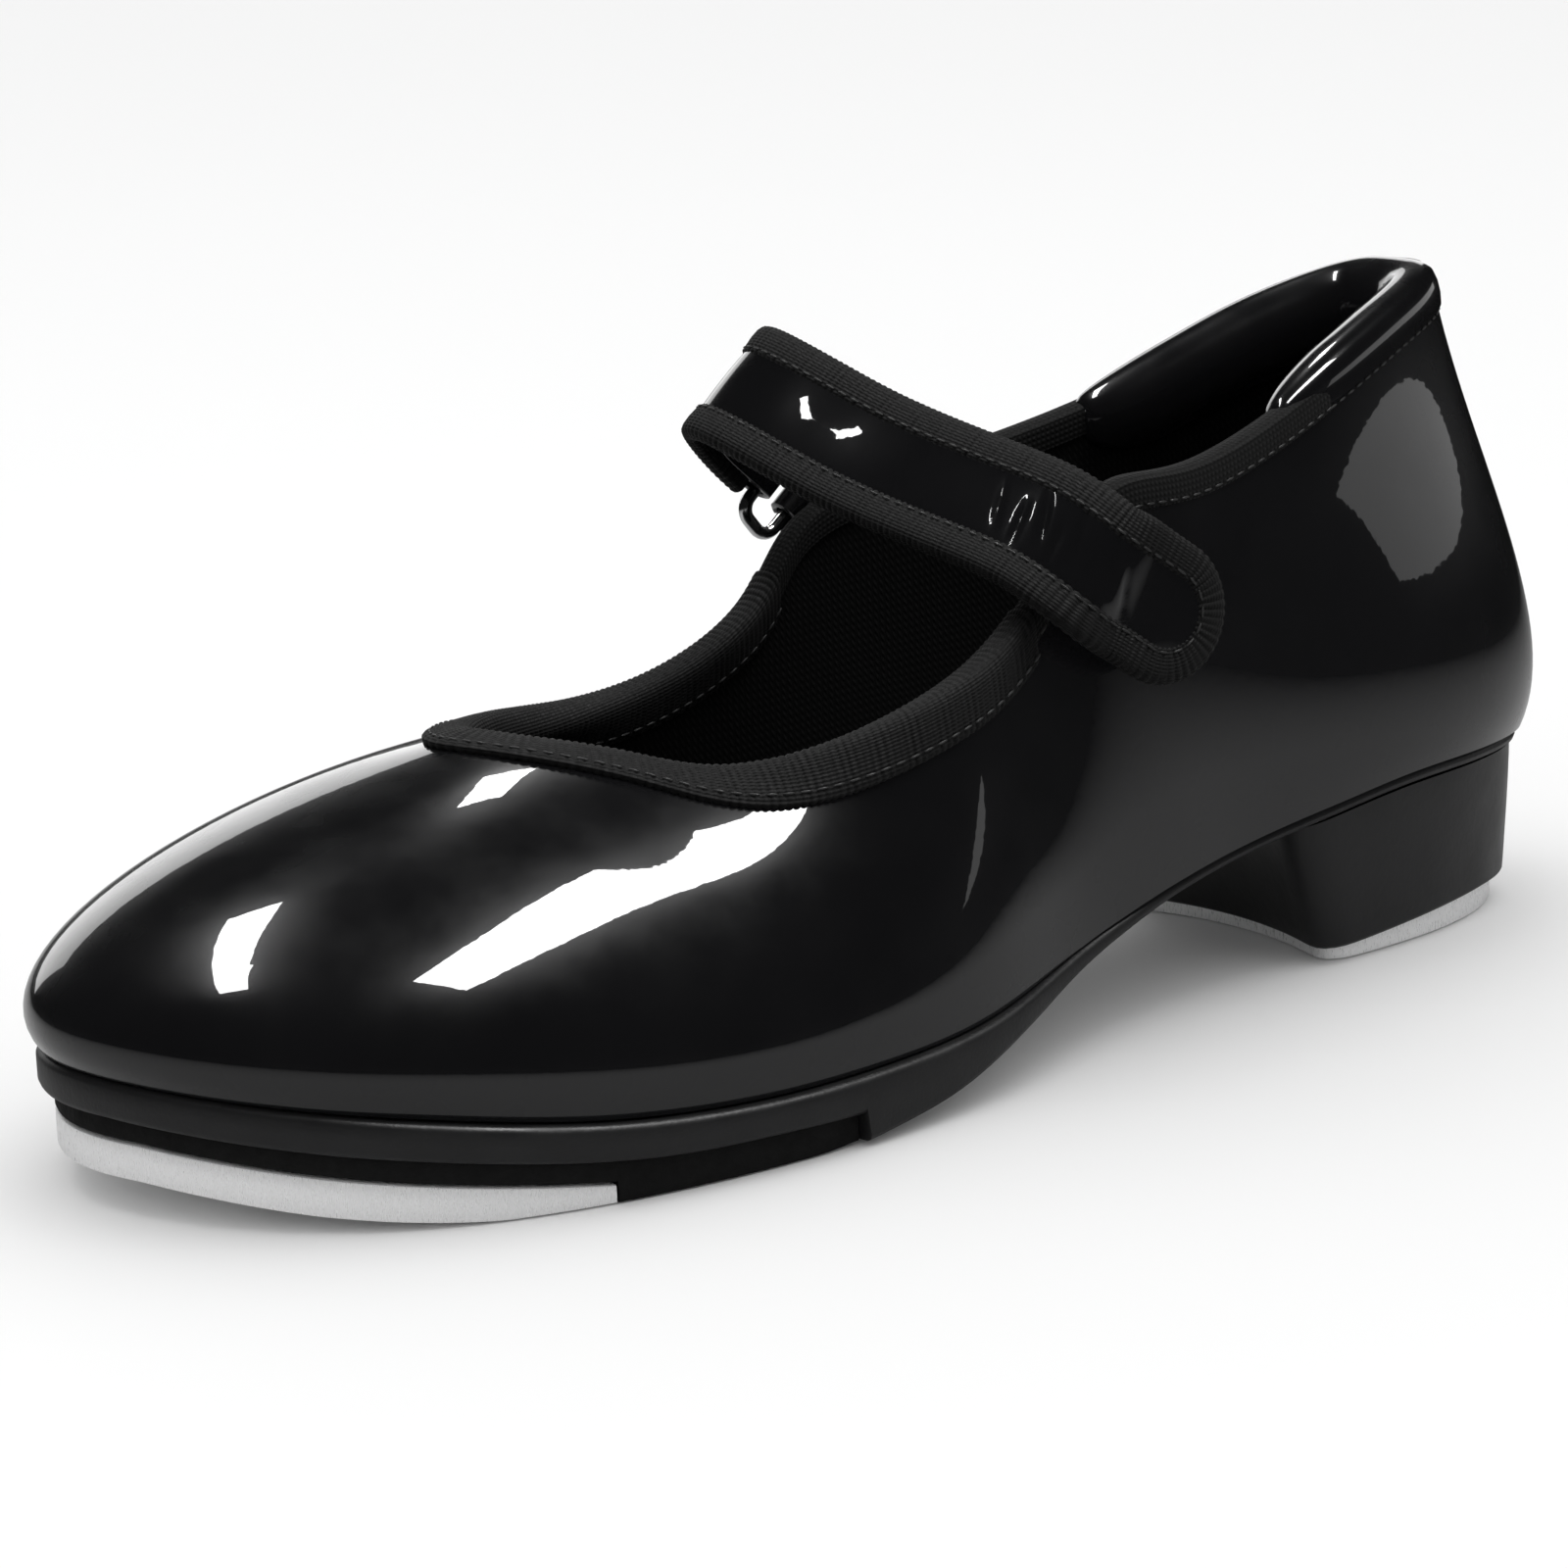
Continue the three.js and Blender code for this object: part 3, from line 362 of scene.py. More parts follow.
# ---- Materials ----
class Wiring:
    """A node tree while it is being wired."""

    def __init__(self, tree):
        self.tree = tree

    def node(self, kind, inputs=None, **settings):
        """A new node with its settings, and with a value or another node's output in its inputs."""
        made = self.tree.nodes.new(kind)
        for key, value in settings.items():
            setattr(made, key, value)
        for key, value in (inputs or {}).items():
            self.feed([made.inputs[key]], value)
        return made

    def link(self, source, target):
        self.tree.links.new(source, target)

    def feed(self, sockets, *values):
        """Gives each socket a value, or another node's output."""
        for socket, value in zip(sockets, values):
            if isinstance(value, bpy.types.NodeSocket):
                self.link(value, socket)
            else:
                socket.default_value = value

    def math(self, operation, a, b=0.0):
        made = self.node("ShaderNodeMath", operation=operation)
        self.feed(made.inputs, a, b)
        return made.outputs[0]

    def vector(self, x, y, z):
        made = self.node("ShaderNodeCombineXYZ")
        self.feed(made.inputs, x, y, z)
        return made.outputs[0]


class Shader(Wiring):
    """A material built round one principled surface."""

    def __init__(self, name):
        self.material = bpy.data.materials.new(name)
        self.material.use_nodes = True
        super().__init__(self.material.node_tree)
        self.tree.nodes.clear()
        self.surface = self.node("ShaderNodeBsdfPrincipled")
        self.output = self.node("ShaderNodeOutputMaterial")
        self.link(self.surface.outputs["BSDF"], self.output.inputs["Surface"])

    def set(self, **values):
        for key, value in values.items():
            self.surface.inputs[key.replace("_", " ")].default_value = value

    def place(self, scale=(1, 1, 1), turn=(0, 0, 0), uv=False):
        """Object coordinates, or the tape's own, scaled and turned."""
        source = self.node("ShaderNodeUVMap", uv_map="tape") if uv else self.node("ShaderNodeTexCoord")
        vector = source.outputs["UV" if uv else "Object"]
        mapping = self.node("ShaderNodeMapping", {"Vector": vector, "Rotation": turn, "Scale": scale})
        return mapping.outputs["Vector"]

    def noise(self, place, scale, detail=2.0, rough=0.5):
        inputs = {"Vector": place, "Scale": scale, "Detail": detail, "Roughness": rough}
        return self.node("ShaderNodeTexNoise", inputs).outputs["Fac"]

    def wave(self, place, scale, axis="X", distortion=0.0):
        inputs = {"Vector": place, "Scale": scale, "Distortion": distortion}
        return self.node("ShaderNodeTexWave", inputs, bands_direction=axis).outputs["Fac"]

    def ramp(self, value, low, high, target):
        """Feeds target with low to high as value goes from 0 to 1."""
        inputs = {"Value": value, "From Min": 0.3, "From Max": 0.7, "To Min": low, "To Max": high}
        self.link(self.node("ShaderNodeMapRange", inputs).outputs["Result"], self.surface.inputs[target])

    def colours(self, value, low, high):
        inputs = {"Factor": value, "A": (*low, 1), "B": (*high, 1)}
        made = self.node("ShaderNodeMix", inputs, data_type="RGBA")
        colour = [s for s in made.outputs if s.type == "RGBA"][0]
        self.link(colour, self.surface.inputs["Base Color"])

    def bump(self, value, depth, below=None, targets=("Normal",)):
        made = self.node("ShaderNodeBump", {"Distance": depth, "Strength": 1.0, "Height": value})
        if below is not None:
            self.link(below, made.inputs["Normal"])
        for target in targets:
            self.link(made.outputs["Normal"], self.surface.inputs[target])
        return made.outputs["Normal"]


def shades(colour, low, high):
    """A darker and a lighter shade of a colour."""
    return [tuple(min(1.0, c * factor) for c in colour) for factor in (low, high)]


def grained(label, tones, mottle, rough, grains, stretch=(1, 1, 1), **sockets):
    """A plain material with noise in its colour, its roughness and the grain of its face."""
    s = Shader(label)
    s.set(**sockets)
    place = s.place(stretch)
    s.colours(s.noise(place, *mottle), *tones)
    scale, detail, least, most = rough
    s.ramp(s.noise(place, scale, detail), least, most, "Roughness")
    below = None
    for scale, detail, depth in grains:
        below = s.bump(s.noise(place, scale, detail), depth, below)
    return s.material


def patent_leather():
    settings = bpy.context.scene.shoe_upper
    colour = settings.patent_colour
    s = Shader("patent leather")
    s.set(Coat_Weight=1.0, Coat_Roughness=0.02, Coat_IOR=1.5, Specular_IOR_Level=0.08)
    place = s.place()
    s.colours(s.noise(place, 55), *shades(colour, 0.75, 1.25))
    s.ramp(s.noise(place, 120, 3), 0.2, 0.32, "Roughness")
    swell = s.bump(s.noise(place, 34, 1), settings.swell, targets=())
    s.bump(s.noise(place, 620, 1), settings.orange_peel, swell, ("Normal", "Coat Normal"))
    return s.material


def ribbed_tape():
    tape = bpy.context.scene.shoe_tape
    colour = tape.colour
    s = Shader("grosgrain ribbon")
    s.set(Sheen_Weight=0.02, Sheen_Roughness=0.5, Specular_IOR_Level=0.18)
    uv = s.place(uv=True)
    rib = s.wave(uv, 0.25 / tape.rib_pitch, "X")
    s.colours(s.math("MULTIPLY", rib, s.noise(uv, 2500, 3)), *shades(colour, 0.6, 2.2))
    s.ramp(s.noise(uv, 1500, 2), 0.62, 0.85, "Roughness")
    warp = s.wave(uv, 700, "Y", 0.6)
    base = s.bump(warp, 0.00006, targets=())
    s.bump(s.noise(uv, 5200, 2), 0.00004, base)
    return s.material


def flat_tape():
    colour = bpy.context.scene.shoe_tape.colour
    s = Shader("plain woven tape")
    s.set(Sheen_Weight=0.02, Sheen_Roughness=0.6, Specular_IOR_Level=0.12)
    uv = s.place(uv=True)
    weave = s.math("MULTIPLY", s.wave(uv, 420, "X"), s.wave(uv, 420, "Y"))
    s.colours(weave, *shades(colour, 0.6, 1.7))
    s.ramp(s.noise(uv, 1800, 2), 0.7, 0.92, "Roughness")
    s.bump(weave, 0.00012)
    return s.material


def lining_cloth():
    colour = bpy.context.scene.shoe_upper.lining_colour
    s = Shader("lining cloth")
    s.set(Sheen_Weight=0.01, Sheen_Roughness=0.6, Specular_IOR_Level=0.05)
    uv = s.place(turn=(0, 0, math.radians(42)))
    twill = s.wave(uv, 430, "X", 0.3)
    weft = s.wave(s.place(turn=(0, math.radians(50), 0)), 430, "Z", 0.3)
    weave = s.math("MULTIPLY", twill, weft)
    s.colours(weave, *shades(colour, 0.6, 1.6))
    s.ramp(s.noise(uv, 90, 3), 0.85, 0.97, "Roughness")
    s.bump(weave, 0.00015)
    return s.material


def moulded_sole():
    tones = shades(bpy.context.scene.shoe_sole.sole_colour, 0.8, 1.3)
    return grained("moulded sole", tones, (160, 3), (90, 3, 0.34, 0.5),
                   [(260, 2, 0.00008), (1900, 2, 0.00003)], Specular_IOR_Level=0.3)


def half_sole_rubber():
    tones = shades(bpy.context.scene.shoe_sole.half_sole_colour, 0.7, 1.6)
    return grained("half sole rubber", tones, (900, 3), (300, 3, 0.7, 0.9), [(1100, 3, 0.00014)],
                   Specular_IOR_Level=0.15)


def heel_lacquer():
    tones = shades(bpy.context.scene.shoe_sole.heel_colour, 0.8, 1.25)
    return grained("heel lacquer", tones, (70, 2), (140, 3, 0.34, 0.46), [(900, 2, 0.00003)],
                   Coat_Weight=0.15, Coat_Roughness=0.25, Specular_IOR_Level=0.25)


def tap_aluminium():
    colour = bpy.context.scene.shoe_taps.colour
    s = Shader("scratched aluminium")
    s.set(Metallic=0.5, Anisotropic=0.35)
    fine = s.noise(s.place((1, 14, 1), (0, 0, math.radians(32))), 1300, 3, 0.65)
    cross = s.noise(s.place((14, 1, 1), (0, 0, math.radians(18))), 1100, 2, 0.6)
    upright = s.noise(s.place((9, 9, 0.9), (math.radians(24), math.radians(20), 0)), 900, 3, 0.7)
    scratch = s.math("MULTIPLY", s.math("ADD", fine, cross), upright)
    s.colours(scratch, *shades(colour, 0.95, 1.3))
    s.ramp(scratch, 0.24, 0.44, "Roughness")
    s.bump(scratch, 0.00005)
    return s.material


def nickel_plate():
    tones = (0.62, 0.62, 0.63), (0.76, 0.76, 0.76)
    return grained("nickel plate", tones, (300, 2), (800, 2, 0.09, 0.2), [(1500, 2, 0.00001)], Metallic=1.0)


def sewing_thread():
    colour = bpy.context.scene.shoe_tape.thread_colour
    s = Shader("sewing thread")
    s.set(Sheen_Weight=0.03, Specular_IOR_Level=0.3)
    place = s.place()
    s.colours(s.noise(place, 4000, 2), *shades(colour, 0.7, 1.5))
    s.ramp(s.noise(place, 2600, 2), 0.35, 0.6, "Roughness")
    s.bump(s.noise(s.place((1, 1, 3)), 3500, 2), 0.00004)
    return s.material


def fibre_board():
    tones = (0.16, 0.1, 0.055), (0.33, 0.23, 0.13)
    return grained("fibre board", tones, (700, 4), (400, 2, 0.75, 0.92), [(1200, 3, 0.0001)], (1, 3, 1))


def stiffener_felt():
    tones = (0.03, 0.03, 0.03), (0.09, 0.09, 0.085)
    return grained("stiffener felt", tones, (1400, 4), (600, 2, 0.82, 0.98), [(2200, 3, 0.00015)])


def nylon_pile():
    tones = (0.006, 0.006, 0.006), (0.03, 0.03, 0.03)
    return grained("nylon pile", tones, (1800, 2), (900, 2, 0.5, 0.8), [(2600, 2, 0.0002)], Sheen_Weight=0.2)


MAKERS = {f.__name__: f for f in (
    patent_leather, ribbed_tape, flat_tape, lining_cloth, moulded_sole, half_sole_rubber, heel_lacquer,
    tap_aluminium, nickel_plate, sewing_thread, fibre_board, stiffener_felt, nylon_pile)}


@functools.cache
def material(name):
    return MAKERS[name]()


# ---- Geometry node trees ----
class Tree(Wiring):
    """A geometry node tree that ends in realized instances with one material."""

    def __init__(self, name, inputs):
        super().__init__(bpy.data.node_groups.new(name, "GeometryNodeTree"))
        face = self.tree.interface
        face.new_socket("Geometry", in_out="INPUT", socket_type="NodeSocketGeometry")
        self.sockets = {}
        for label, kind in {**inputs, "Material": "Material"}.items():
            socket = face.new_socket(label, in_out="INPUT", socket_type=f"NodeSocket{kind}")
            self.sockets[label] = socket.identifier
        face.new_socket("Geometry", in_out="OUTPUT", socket_type="NodeSocketGeometry")
        self.start = self.node("NodeGroupInput").outputs

    def end(self, geometry):
        real = self.node("GeometryNodeRealizeInstances", {"Geometry": geometry}).outputs[0]
        paint = self.node("GeometryNodeSetMaterial", {"Geometry": real, "Material": self.start["Material"]})
        self.node("NodeGroupOutput", {"Geometry": paint.outputs[0]})

    def run(self, obj, **values):
        """Grows the tree on obj and keeps the result as its plain mesh."""
        modifier = obj.modifiers.new(self.tree.name, "NODES")
        modifier.node_group = self.tree
        for label, value in values.items():
            modifier[self.sockets[label.replace("_", " ")]] = value
        return applied(obj)


def ribs_tree():
    """Raises ribs across a tape, along the distance kept in its points."""
    t = Tree("Tape Ribs", {"Rib Pitch": "Float", "Rib Height": "Float"})
    along = t.node("GeometryNodeInputNamedAttribute", {"Name": "along"}, data_type="FLOAT")
    turns = t.math("DIVIDE", along.outputs["Attribute"], t.start["Rib Pitch"])
    wave = t.math("ABSOLUTE", t.math("SINE", t.math("MULTIPLY", turns, math.pi)))
    crown = t.math("SUBTRACT", t.math("POWER", wave, 0.7), 0.6)
    lift = t.math("MULTIPLY", crown, t.start["Rib Height"])
    normal = t.node("GeometryNodeInputNormal").outputs["Normal"]
    raised = t.node("ShaderNodeVectorMath", operation="SCALE")
    t.feed((raised.inputs["Vector"], raised.inputs["Scale"]), normal, lift)
    move = {"Geometry": t.start["Geometry"], "Offset": raised.outputs["Vector"]}
    t.end(t.node("GeometryNodeSetPosition", move).outputs["Geometry"])
    return t


def stitches_tree():
    """Lays stitches end to end along the edges of the mesh it is given."""
    t = Tree("Stitch Row", {"Stitch Pitch": "Float", "Stitch Length": "Float", "Thread Radius": "Float"})
    curve = t.node("GeometryNodeMeshToCurve", {"Mesh": t.start["Geometry"]}).outputs["Curve"]
    spacing = {"Curve": curve, "Length": t.start["Stitch Pitch"]}
    points = t.node("GeometryNodeCurveToPoints", spacing, mode="LENGTH").outputs
    turn = t.node("FunctionNodeAlignRotationToVector", {"Vector": points["Tangent"]}, axis="Z")
    bead = t.node("GeometryNodeMeshUVSphere", {"Segments": 6, "Rings": 5, "Radius": 1.0})
    half = t.math("MULTIPLY", t.start["Stitch Length"], 0.5)
    radius = t.start["Thread Radius"]
    row_of = {"Points": points["Points"], "Instance": bead.outputs["Mesh"],
              "Rotation": turn.outputs["Rotation"], "Scale": t.vector(radius, radius, half)}
    t.end(t.node("GeometryNodeInstanceOnPoints", row_of).outputs["Instances"])
    return t


def screws_tree():
    """Puts a countersunk, cross-slotted screw head on every point, facing down."""
    t = Tree("Tap Screws", {"Head Radius": "Float", "Head Depth": "Float", "Slot Width": "Float"})
    radius, depth = t.start["Head Radius"], t.start["Head Depth"]
    head = t.node("GeometryNodeMeshCone", {"Vertices": 28, "Radius Top": t.math("MULTIPLY", radius, 0.45),
                                           "Radius Bottom": radius, "Depth": depth})
    slot = t.node("GeometryNodeMeshBoolean", operation="DIFFERENCE", solver="EXACT")
    t.link(head.outputs["Mesh"], slot.inputs["Mesh 1"])
    long, wide = t.math("MULTIPLY", radius, 1.15), t.start["Slot Width"]
    for x, y in ((long, wide), (wide, long)):
        bar = t.node("GeometryNodeMeshCube", {"Size": t.vector(x, y, t.math("MULTIPLY", depth, 0.8))})
        t.link(bar.outputs["Mesh"], slot.inputs["Mesh 2"])
    heads = {"Points": t.start["Geometry"], "Instance": slot.outputs["Mesh"]}
    t.end(t.node("GeometryNodeInstanceOnPoints", heads).outputs["Instances"])
    return t


def pile_tree():
    """Grows short fibres on the faces of a patch, and keeps the patch."""
    t = Tree("Fastener Pile", {"Fibre Count": "Int", "Fibre Height": "Float", "Seed": "Int"})
    patch = {"Mesh": t.start["Geometry"], "Density": t.start["Fibre Count"], "Seed": t.start["Seed"]}
    spread = t.node("GeometryNodeDistributePointsOnFaces", patch, distribute_method="RANDOM").outputs
    fibre = t.node("GeometryNodeMeshCone", {"Vertices": 4, "Radius Top": 0.00004, "Radius Bottom": 0.00009,
                                            "Depth": t.start["Fibre Height"]})
    each = {"Points": spread["Points"], "Instance": fibre.outputs["Mesh"], "Rotation": spread["Rotation"]}
    grow = t.node("GeometryNodeInstanceOnPoints", each)
    join = t.node("GeometryNodeJoinGeometry")
    t.link(grow.outputs["Instances"], join.inputs["Geometry"])
    t.link(t.start["Geometry"], join.inputs["Geometry"])
    t.end(join.outputs["Geometry"])
    return t


TREES = {f.__name__: f for f in (ribs_tree, stitches_tree, screws_tree, pile_tree)}


@functools.cache
def tree(name):
    return TREES[name]()


def stitch_row(name, lines):
    """Rows of stitches along lines of points in millimetres."""
    tape = bpy.context.scene.shoe_tape
    points, edges = [], []
    for line in lines:
        first = len(points)
        points += row(line).tolist()
        edges += [(k, k + 1) for k in range(first, len(points) - 1)]
    mesh = bpy.data.meshes.new(name)
    mesh.from_pydata(points, edges, [])
    obj = new_object(name, mesh)
    tree("stitches_tree").run(
        obj, Stitch_Pitch=tape.stitch_pitch, Stitch_Length=tape.stitch_pitch * 0.72,
        Thread_Radius=tape.thread_radius, Material=material("sewing_thread"))
    obj.data.shade_smooth()
    return finish(obj, "sewing_thread", "ribbed_tape")


def ribbed(obj):
    tape = bpy.context.scene.shoe_tape
    tree("ribs_tree").run(
        obj, Rib_Pitch=tape.rib_pitch, Rib_Height=tape.rib_height, Material=material("ribbed_tape"))
    return obj


# ---- Sizes and colours ----
def length(name, description, default):
    return FloatProperty(name=name, description=description, default=default, subtype="DISTANCE",
                         unit="LENGTH", precision=5)


def colour(name, description, default):
    return FloatVectorProperty(name=name, description=description, default=default, subtype="COLOR",
                               size=3, min=0, max=1)


class UpperSettings(bpy.types.PropertyGroup):
    patent_colour: colour("Patent", "Colour of the patent leather", (0.0045, 0.0045, 0.005))
    lining_colour: colour("Lining", "Colour of the lining and sock", (0.0035, 0.0035, 0.0035))
    swell: length("Swell", "Depth of the slow waves in the leather", 0.00006)
    orange_peel: length("Orange Peel", "Depth of the fine texture in the gloss", 0.000004)
    rows: IntProperty(name="Rows", description="Rows of faces from the sole to the edge", default=30, min=8)
    spacing: FloatProperty(name="Spacing", description="Distance between stations, in mm", default=1.5,
                           min=0.5)
    collar_fill: FloatProperty(name="Collar Fill", description="How tight the collar's foam is",
                               default=0.85, min=0, max=1, subtype="FACTOR")


class TapeSettings(bpy.types.PropertyGroup):
    colour: colour("Tape", "Colour of the ribbon and tape", (0.00275, 0.00275, 0.00275))
    thread_colour: colour("Thread", "Colour of the sewing thread", (0.016, 0.016, 0.016))
    rib_pitch: length("Rib Pitch", "Distance from rib to rib", 0.00098)
    rib_height: length("Rib Height", "How far a rib stands up", 0.00022)
    stitch_pitch: length("Stitch Pitch", "Distance from stitch to stitch", 0.0021)
    thread_radius: length("Thread Radius", "Radius of the sewing thread", 0.00017)


class SoleSettings(bpy.types.PropertyGroup):
    sole_colour: colour("Sole", "Colour of the moulded sole", (0.009, 0.009, 0.0095))
    half_sole_colour: colour("Half Sole", "Colour of the rubber half sole", (0.0045, 0.0045, 0.0045))
    heel_colour: colour("Heel", "Colour of the heel block", (0.008, 0.008, 0.0085))
    rim_round: FloatProperty(name="Rim Round", description="Rounding of the sole's rim, in mm", default=0.9)
    stations: IntProperty(name="Stations", description="Stations along each layer of the sole", default=150)


class TapSettings(bpy.types.PropertyGroup):
    colour: colour("Aluminium", "Colour of the taps", (0.82, 0.825, 0.83))
    bevel: FloatProperty(name="Bevel", description="Worn edge of a tap, in mm", default=0.3)
    head_radius: length("Head Radius", "Radius of a tap screw's head", 0.0024)
    slot_width: length("Slot Width", "Width of a screw's cross slot", 0.0006)


class StageSettings(bpy.types.PropertyGroup):
    floor_colour: colour("Floor", "Colour of the floor", (0.86, 0.86, 0.86))
    surround: FloatProperty(name="Surround", description="Brightness of the air round the shoe", default=1.0)
    overhead: FloatProperty(name="Overhead", description="Power of the overhead light in watts", default=5.0)
    room: FloatProperty(name="Room", description="Brightness of the room in the gloss", default=0.008)


# ---- Upper ----
def loop_u(step):
    """Stations the whole way round, evenly spaced near mid height."""
    return even_u(0, STATIONS, step, 0.5)[0][:-1]


def wall_shell(name, u, v, outer_depth, inner_depth, sharp=40):
    """A layer of the upper, the whole way round, between two depths."""
    uu, vv = np.meshgrid(u, v, indexing="ij")
    outer = wall(uu, vv, np.broadcast_to(outer_depth, uu.shape))
    inner = wall(uu, vv, np.full_like(uu, inner_depth))[:, ::-1]
    return skin(name, np.concatenate([outer, inner], 1), closed=True, sharp=sharp)


SEAM_GROOVE = 0.35
SEAM_HALF_U = 0.05
LINING_SPACING = 2.5


def build_upper():
    settings = bpy.context.scene.shoe_upper
    u = loop_u(settings.spacing)
    v = np.linspace(0, 1, settings.rows + 1)
    off_seam = np.minimum(np.abs(u), np.abs(STATIONS - u))
    groove = np.exp(-(off_seam / SEAM_HALF_U) ** 2)[:, None] * SEAM_GROOVE
    upper = wall_shell("patent_upper", u, v, groove, UPPER_THICK, 50)
    finish(upper, "patent_leather", "patent_leather", "vamp", "quarter_lateral",
           "quarter_medial", "upper_flex_lateral", "upper_flex_medial")
    bend_at_ball(upper)


def build_lining():
    v = np.linspace(0.02, 1, 18)
    lining = wall_shell("upper_lining", loop_u(LINING_SPACING), v, LINING_IN, LINING_IN + LINING_THICK)
    finish(lining, "lining_cloth", "lining_cloth", "vamp_lining", "quarter_lining",
           "lining_flex_lateral", "lining_flex_medial")
    bend_at_ball(lining)


def edge_roll(name, u, along, profile, swell=None):
    """A body swept along the top edge from a profile of (out, down) points."""
    out, down = np.array(profile, float).T
    uu = np.repeat(u[:, None], len(profile), 1)
    o, d = np.broadcast_to(out, uu.shape), np.broadcast_to(down, uu.shape)
    if swell is not None:
        o, d = swell(uu, o, d)
    across = length_along(np.array(profile, float)) * MM
    return skin(name, edge_point(uu, o, d), along=along, across=across)


THROAT_TAPE = [(0.12, 5.4), (0.7, 5.35), (0.95, 5.0), (1.02, 4.2), (1.08, 3.0), (1.08, 1.8), (1.0, 0.7),
               (0.75, -0.2), (0.2, -0.85), (-0.7, -1.15), (-1.7, -1.2), (-2.7, -1.1), (-3.5, -0.7),
               (-4.0, 0.0), (-4.2, 1.0), (-4.25, 2.4), (-4.2, 3.8), (-4.1, 4.5), (-3.7, 4.7), (-3.3, 4.4),
               (-3.3, 1.0), (-2.8, -0.4), (-1.6, -0.7), (-0.4, -0.4), (0.1, 0.8)]
FLAT_TAPE = [(0.06, 3.5), (0.38, 3.45), (0.5, 3.1), (0.52, 2.0), (0.48, 0.8), (0.25, -0.2), (-0.4, -0.65),
             (-1.6, -0.8), (-2.8, -0.65), (-3.5, -0.2), (-3.75, 0.8), (-3.8, 2.0), (-3.75, 3.2),
             (-3.3, 3.3), (-3.25, 0.6), (-2.6, -0.3), (-1.6, -0.4), (-0.6, -0.3), (0.02, 0.6)]
COLLAR_ROLL = [(0.55, 2.6), (0.75, 1.2), (0.7, -0.4), (0.35, -1.8), (-0.5, -2.7), (-1.9, -3.25),
               (-3.6, -3.3), (-5.3, -2.7), (-6.8, -1.4), (-7.8, 0.6), (-8.1, 3.0), (-7.6, 5.4),
               (-6.4, 7.4), (-4.9, 8.5), (-3.4, 8.7), (-3.3, 6.5), (-3.3, 2.0), (-3.0, -0.4), (-1.6, -0.7),
               (-0.2, -0.5), (0.1, 1.0)]


def build_bindings():
    u, along = even_u(THROAT_START_U, THROAT_END_U, 0.16, 1.0, -1)
    throat = ribbed(edge_roll("throat_binding", u, along, THROAT_TAPE))
    finish(throat, "ribbed_tape", "ribbed_tape", "throat_binding_front",
           "throat_binding_lateral", "throat_binding_medial", "binding_flex_lateral",
           "binding_flex_medial")
    bend_at_ball(throat)
    seam, _ = even_u(THROAT_START_U + 0.05, THROAT_END_U - 0.05, 1, 1.0)
    lines = [edge_point(seam, 1.12, 4.35), edge_point(seam, -4.3, 3.6)]
    bend_at_ball(stitch_row("throat_stitches", lines))
    ends = {"lateral": (COLLAR_U - 0.25, THROAT_START_U + 0.03),
            "medial": (THROAT_END_U - 0.03, STATIONS - COLLAR_U + 0.25)}
    for side, (u0, u1) in ends.items():
        u, along = even_u(u0, u1, 0.6)
        tape = edge_roll(f"topline_tape_{side}", u, along, FLAT_TAPE)
        finish(tape, "flat_tape", "flat_tape", f"topline_binding_{side}")
        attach(tape, "rear")
        seam, _ = even_u(u0 + 0.02, u1 - 0.02, 1)
        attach(stitch_row(f"topline_stitches_{side}", [edge_point(seam, 0.55, 2.9)]), "rear")


def build_collar():
    reach = COLLAR_U + 0.1
    u, along = even_u(-reach, reach, 0.7)

    def swell(uu, out, down):
        """Closes the roll at its ends and gathers it in soft puckers along its lower seam."""
        t = np.clip((reach - np.abs(uu)) / 0.7, 0, 1)
        body = np.sqrt(np.clip(1 - (1 - t) ** 2, 0.0004, 1))
        pucker = np.sin(uu * 19) * 0.5 + np.sin(uu * 33 + 1.3) * 0.3 + np.sin(uu * 54 + 0.4) * 0.2
        low = np.clip((down - 1) / 7, 0, 1)
        inward = np.clip(-(out + 3.2), 0, None)
        out = -1.6 + (out + 1.6) * (0.25 + 0.75 * body) + pucker * 0.22 * low * (inward > 0)
        down = 0.5 + (down - 0.5) * (0.3 + 0.7 * body)
        return out, down

    collar = edge_roll("collar_roll", u, along, COLLAR_ROLL, swell)
    finish(collar, "patent_leather", "patent_leather", "collar_pad")
    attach(collar, "rear")
    seam, _ = even_u(-COLLAR_U + 0.2, COLLAR_U - 0.2, 1)
    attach(stitch_row("collar_stitches", [edge_point(seam, 0.12, 3.2)]), "rear")


def build_back_seam():
    v = np.linspace(0.04, 0.93, 60)
    lines = [wall(side * 0.14, v, -0.06) for side in (-1, 1)]
    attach(stitch_row("back_seam_stitches", lines), "rear")


# ---- Sole ----
SIDES = ((0, TOE_U), (STATIONS, TOE_U))


def outline_sides(x0, n):
    """Matching points down both sides of the feather edge from x0, or the heel, to the toe."""
    sides = []
    for u_from, u_to in SIDES:
        u = np.linspace(u_from, u_to, 1200)
        x = section_at(u)[:, 0]
        if x0 is not None:
            k = int(np.argmax(x >= x0))
            f = (x0 - x[k - 1]) / (x[k] - x[k - 1])
            u = np.concatenate([[u[k - 1] + f * (u[k] - u[k - 1])], u[k:]])
        sides.append((u, length_along(section_at(u)[:, :2])))
    t = np.linspace(0, 1, n + 1)
    return [np.interp(t * d[-1], d, u) for u, d in sides]


